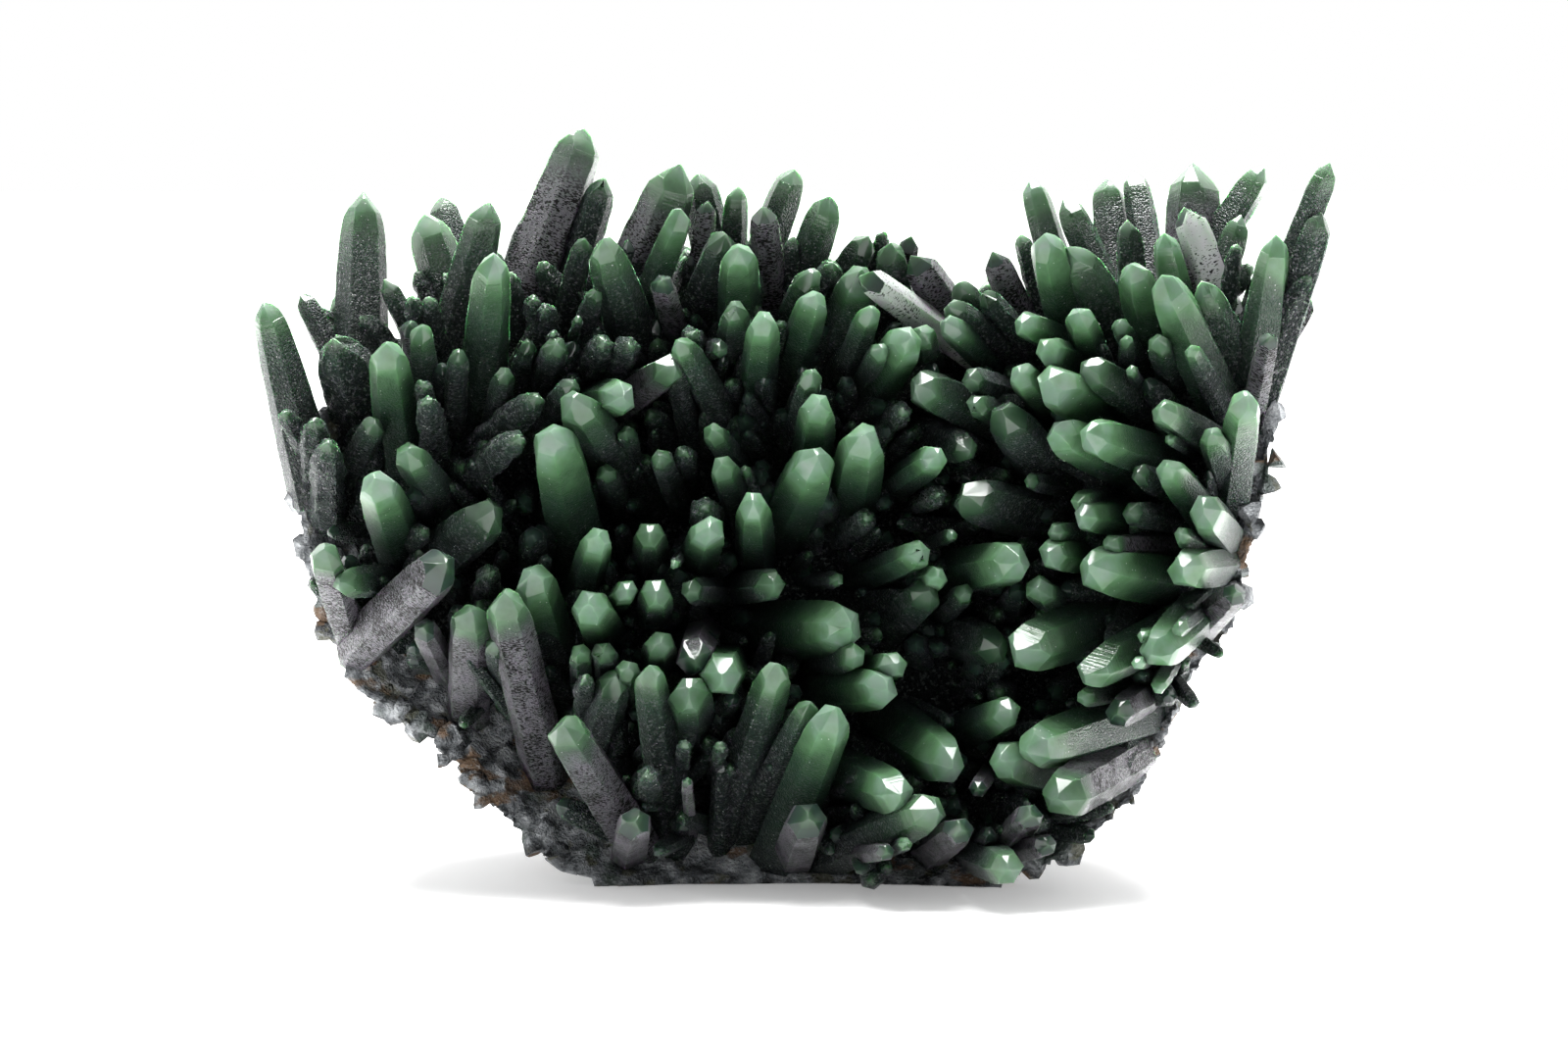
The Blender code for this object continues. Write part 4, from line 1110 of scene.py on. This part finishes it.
def prase():
    """Green quartz: pale and smooth at the tip, dark, ribbed and granular below."""
    tree = Tree("prase")
    place = tree.attribute("place")[0]
    _, down, slope, die = tree.attribute("growth")
    _, tone, grain, gloss = tree.attribute("habit")

    cloud = tree.noise(place, 0.28, 3.0)
    depth = tree.math("ADD", down, tree.math("MULTIPLY", tree.math("SUBTRACT", cloud, 0.5), 1.0))
    along = tree.math("DIVIDE", depth, GREEN_REACH)
    own_tone = tree.math("ADD", tone, tree.math("MULTIPLY", tree.math("SUBTRACT", die, 0.5), 0.3))
    colour = tree.mix(own_tone, tree.ramp(along, *DEEP_GREEN), tree.ramp(along, *PALE_GREEN))

    tip_face = tree.step(slope, 0.42, 0.55)
    side = tree.math("SUBTRACT", 1.0, tip_face)
    body = tree.math("MULTIPLY", tree.step(depth, 0.2, 1.3), side)
    grainy = tree.math("MULTIPLY", body, tree.step(grain, 0.0, 1.0))

    sugar = tree.node("ShaderNodeTexVoronoi", {"Vector": place, "Scale": 3.4})
    bright = tree.node("ShaderNodeSeparateColor", {0: sugar.outputs["Color"]}).outputs[0]
    grains = tree.math("MULTIPLY", tree.step(bright, 0.68, 1.0), grainy)
    colour = tree.mix(tree.math("MULTIPLY", grains, 0.6), colour, GRAIN_COLOUR)

    # Painted glints: a few small pale specks on the sides, painted into the colour in place of reflections of the
    # lights
    painted_glint_cells = tree.node("ShaderNodeTexVoronoi", {"Vector": place, "Scale": 1.4})
    chosen = tree.node("ShaderNodeSeparateColor", {0: painted_glint_cells.outputs["Color"]}).outputs[0]
    painted_glint = tree.math("SUBTRACT", 1.0, tree.step(painted_glint_cells.outputs["Distance"], 0.09, 0.16))
    painted_glint = tree.math("MULTIPLY", painted_glint, tree.step(chosen, 0.80, 0.84))
    painted_glint = tree.math("MULTIPLY", tree.math("MULTIPLY", painted_glint, side), tree.math("ADD", grain, 0.2))
    colour = tree.mix(painted_glint, colour, PAINTED_GLINT_COLOUR)

    # Painted sheen: glassy sides get a lilac or pale grey colour in place of the lights' reflection, broken by dark
    # dashes
    painted_sheen_area = tree.math("MULTIPLY", tree.step(gloss, 0.5, 0.8), side)
    painted_sheen_area = tree.math("MULTIPLY", painted_sheen_area, tree.step(depth, 0.5, 1.3))
    painted_sheen = tree.mix(tree.step(gloss, 0.9, 1.0), LILAC_PAINTED_SHEEN, SLAB_PAINTED_SHEEN)
    colour = tree.mix(tree.math("MULTIPLY", painted_sheen_area, 0.8), colour, painted_sheen)
    dashes = tree.noise(tree.scaled(place, 1.9, 1.9, 5.0), 1.0, 1.5)
    open_from = tree.blend(tree.step(tree.noise(place, 0.22, 1.0), 0.35, 0.65), 0.44, 0.54)
    open_from = tree.math("ADD", open_from, tree.math("MULTIPLY", tree.step(gloss, 0.9, 1.0), 0.12))
    pitted = tree.step(tree.math("SUBTRACT", dashes, open_from), 0.0, 0.05)
    pitted = tree.math("MULTIPLY", pitted, painted_sheen_area)
    colour = tree.mix(pitted, colour, (0.003, 0.003, 0.003))

    glinting = tree.math("MULTIPLY", tree.step(bright, 0.8, 0.95), 0.55)
    shine = tree.blend(grainy, 1.0, tree.math("ADD", glinting, 0.3))
    shine = tree.math("MULTIPLY", shine, tree.blend(pitted, POLISH, 0.1))

    ribs = tree.noise(tree.scaled(place, 0.14, 0.14, 2.3), 1.0, 2.0)
    ribs = tree.math("MULTIPLY", ribs, side)
    normal = tree.bump(ribs, 0.00013)
    fine = tree.noise(place, 4.2, 1.5)
    sand = tree.math("SUBTRACT", tree.math("MULTIPLY", fine, 0.5), sugar.outputs["Distance"])
    sand = tree.math("MULTIPLY", sand, grainy)
    rounded = tree.attribute("rounded")[0]
    inner = tree.bump(sand, 0.0006, tree.toward(normal, rounded, ROUND_SHARE))
    normal = tree.bump(sand, 0.0003, normal)
    normal = tree.bump(tree.math("MULTIPLY", pitted, -1.0), 0.0002, normal)
    normal = tree.tilted(normal, sugar.outputs["Color"], tree.math("MULTIPLY", grainy, GRAIN_TILT))

    tree.join(colour, tree.shader.inputs["Base Color"])
    tree.join(shine, tree.shader.inputs["Coat Weight"])
    tree.join(normal, tree.shader.inputs["Coat Normal"])
    tree.join(inner, tree.shader.inputs["Normal"])
    tree.shader.inputs["Coat Roughness"].default_value = 0.11
    tree.shader.inputs["Coat IOR"].default_value = 1.54
    tree.shader.inputs["Roughness"].default_value = 0.5
    tree.shader.inputs["Specular IOR Level"].default_value = 0.1
    tree.shader.inputs["Subsurface Weight"].default_value = MILKY
    tree.shader.inputs["Subsurface Radius"].default_value = (0.5, 1.0, 0.45)
    tree.shader.inputs["Subsurface Scale"].default_value = MILKY_REACH
    return tree.material


def dark_druse():
    """The black granular crust that the crystals stand in."""
    tree = Tree("dark druse")
    place = tree.attribute("place")[0]
    grains = tree.node("ShaderNodeTexVoronoi", {"Vector": place, "Scale": 2.6})
    bright = tree.node("ShaderNodeSeparateColor", {0: grains.outputs["Color"]}).outputs[0]
    colour = tree.mix(tree.step(bright, 0.7, 1.0), (0.004, 0.006, 0.006), (0.06, 0.07, 0.065))
    tree.join(colour, tree.shader.inputs["Base Color"])
    tree.join(tree.blend(bright, 0.85, 0.4), tree.shader.inputs["Roughness"])
    tree.join(tree.bump(grains.outputs["Distance"], -0.0006), tree.shader.inputs["Normal"])
    tree.shader.inputs["Specular IOR Level"].default_value = 0.2
    return tree.material


# Painted shade: the rock is painted dull and dark towards the back, which the lights strike harder than the front:
# from and to which y in millimetres
PAINTED_SHADE_Y = (4.0, 22.0)
PAINTED_SHADE_GREY = (0.040, 0.044, 0.046)
PAINTED_SHADE_RUST = (0.060, 0.042, 0.028)


def grey_rock():
    """Broken blue-grey quartz rock with frosted edges, green, olive and rust-brown stains, and painted shade towards
    the back.
    """
    tree = Tree("grey rock")
    place = tree.node("ShaderNodeTexCoord").outputs["Object"]
    place = tree.scaled(place, 1000, 1000, 1000)
    mottle = tree.noise(place, 0.35, 6.0)
    colour = tree.ramp(
        mottle,
        (0.36, (0.018, 0.020, 0.022)),
        (0.44, (0.11, 0.12, 0.13)),
        (0.53, (0.27, 0.285, 0.30)),
        (0.64, (0.55, 0.57, 0.59)),
    )
    grains = tree.node("ShaderNodeTexVoronoi", {"Vector": place, "Scale": 0.55})
    shade = tree.node("ShaderNodeSeparateColor", {0: grains.outputs["Color"]}).outputs[0]
    colour = tree.mix(tree.math("MULTIPLY", shade, 0.6), colour, (0.035, 0.040, 0.043))
    green = tree.step(tree.noise(place, 0.16, 3.0), 0.55, 0.66)
    colour = tree.mix(tree.math("MULTIPLY", green, 0.55), colour, (0.04, 0.075, 0.048))
    olive = tree.step(tree.noise(tree.scaled(place, 1.2, 1.0, 1.2), 0.22, 3.0), 0.58, 0.64)
    colour = tree.mix(tree.math("MULTIPLY", olive, 0.7), colour, (0.085, 0.085, 0.045))
    rust = tree.step(tree.noise(tree.scaled(place, 0.8, 1.0, 1.3), 0.13, 5.0), 0.565, 0.61)
    colour = tree.mix(tree.math("MULTIPLY", rust, 0.85), colour, (0.15, 0.09, 0.05))
    fine = tree.noise(place, 2.2, 3.0)
    frost = tree.step(fine, 0.56, 0.70)
    colour = tree.mix(tree.math("MULTIPLY", frost, 0.45), colour, (0.42, 0.44, 0.44))
    # Painted shade: darker towards the back, with a rust tint where the rust stains are
    behind = tree.node("ShaderNodeSeparateXYZ", {0: place}).outputs[1]
    painted_back_shade = tree.math("MULTIPLY", tree.step(behind, *PAINTED_SHADE_Y), 0.8)
    colour = tree.mix(painted_back_shade, colour, tree.mix(rust, PAINTED_SHADE_GREY, PAINTED_SHADE_RUST))
    tree.join(colour, tree.shader.inputs["Base Color"])
    tree.join(tree.blend(rust, tree.blend(shade, 0.55, 0.25), 0.9), tree.shader.inputs["Roughness"])
    tree.join(tree.bump(fine, 0.0008), tree.shader.inputs["Normal"])
    return tree.material


# The stage: a wide pale floor with a painted glow that lightens the shadow under the specimen and turns plain white
# away from it, soft lights
FLOOR_SIZE = 12.0
FLOOR_COLOUR = (0.8, 0.8, 0.8, 1)
FLOOR_GLOW_FROM = -0.2
FLOOR_GLOW_TO = 0.45
LIGHTS = (
    # name, place, size across and deep in metres, brightness
    ("top", KEY_LIGHT, 1.1, 0.8, 28.0),
    ("left", SIDE_LIGHT, 1.1, 0.9, 2.8),
    ("right", Vector((1.35, 0.05, 0.35)), 0.9, 0.9, 2.5),
    ("back", Vector((0.0, 1.8, 0.8)), 3.0, 1.6, 1.5),
)
SURROUNDINGS = 0.6
BACKDROP = 1.0


def pale_floor():
    tree = Tree("pale floor")
    place = tree.node("ShaderNodeTexCoord").outputs["Object"]
    away = tree.node("ShaderNodeVectorMath", {0: place}, operation="LENGTH").outputs["Value"]
    # Painted light: the floor glows more the further it is from the middle, and a little even under the specimen,
    # which lightens its shadow
    tree.join(tree.step(away, FLOOR_GLOW_FROM, FLOOR_GLOW_TO), tree.shader.inputs["Emission Strength"])
    tree.shader.inputs["Emission Color"].default_value = (1, 1, 1, 1)
    tree.shader.inputs["Base Color"].default_value = FLOOR_COLOUR
    tree.shader.inputs["Roughness"].default_value = 0.6
    tree.material.cycles.emission_sampling = "NONE"
    return tree.material


def stage():
    bpy.ops.mesh.primitive_plane_add(size=FLOOR_SIZE)
    floor = bpy.context.object
    floor.name = "floor"
    floor.data.materials.append(pale_floor())


def soft_light(name, place, across, deep, brightness):
    light = bpy.data.lights.new(name, "AREA")
    light.shape = "RECTANGLE"
    light.size = across
    light.size_y = deep
    light.energy = brightness * math.pi * across * deep
    lamp = bpy.data.objects.new(name, light)
    bpy.context.scene.collection.objects.link(lamp)
    lamp.location = place
    target = Vector((0, 0, 0.05))
    lamp.rotation_euler = (target - place).to_track_quat("-Z", "Y").to_euler()
    lamp.visible_camera = False


def studio():
    """White behind the specimen as the camera sees it, dim everywhere else."""
    world = bpy.data.worlds.new("studio")
    bpy.context.scene.world = world
    world.use_nodes = True
    nodes, links = world.node_tree.nodes, world.node_tree.links
    dim = nodes["Background"]
    dim.inputs["Color"].default_value = (1, 1, 1, 1)
    dim.inputs["Strength"].default_value = SURROUNDINGS
    white = nodes.new("ShaderNodeBackground")
    white.inputs["Color"].default_value = (1, 1, 1, 1)
    white.inputs["Strength"].default_value = BACKDROP
    seen = nodes.new("ShaderNodeLightPath")
    mixed = nodes.new("ShaderNodeMixShader")
    links.new(seen.outputs["Is Camera Ray"], mixed.inputs["Fac"])
    links.new(dim.outputs[0], mixed.inputs[1])
    links.new(white.outputs[0], mixed.inputs[2])
    links.new(mixed.outputs[0], nodes["World Output"].inputs["Surface"])
    for light in LIGHTS:
        soft_light(*light)
    bpy.context.scene.view_settings.view_transform = "Standard"


def camera():
    data = bpy.data.cameras.new("camera")
    data.sensor_width = 36
    data.lens = 36 * EYE_DISTANCE / (VIEW_WIDTH_PX * PIXEL)
    made = bpy.data.objects.new("camera", data)
    bpy.context.scene.collection.objects.link(made)
    turn = Matrix(((1, 0, 0), UP, -FORWARD)).transposed()
    made.matrix_world = Matrix.Translation(EYE + HOME) @ turn.to_4x4()
    bpy.context.scene.camera = made


def keep(piece, node):
    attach(piece, "root")
    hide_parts(node)


def dress():
    green = prase()
    grey = grey_rock()
    readings = CROWN + LEFT_MASS + MIDDLE + FRONT
    heaps = {
        "crown_crystals": seen_crystals(CROWN),
        "left_crystals": seen_crystals(LEFT_MASS),
        "middle_crystals": seen_crystals(MIDDLE),
        "front_crystals": seen_crystals(FRONT),
        "back_crystals": back_crystals(),
        "knobby_crystals": knobby_crystals(),
        "small_crystals": small_crystals(readings),
    }
    for name, heap in heaps.items():
        keep(heap.piece(name, green), "crystals")
    keep(druse().piece("druse", dark_druse()), "crystals")
    surface = rock()
    keep(rock_chunks(surface).piece("rock_chunks", grey), "matrix")
    keep(finished("rock", surface, grey), "matrix")


camera()
stage()
studio()
dress()
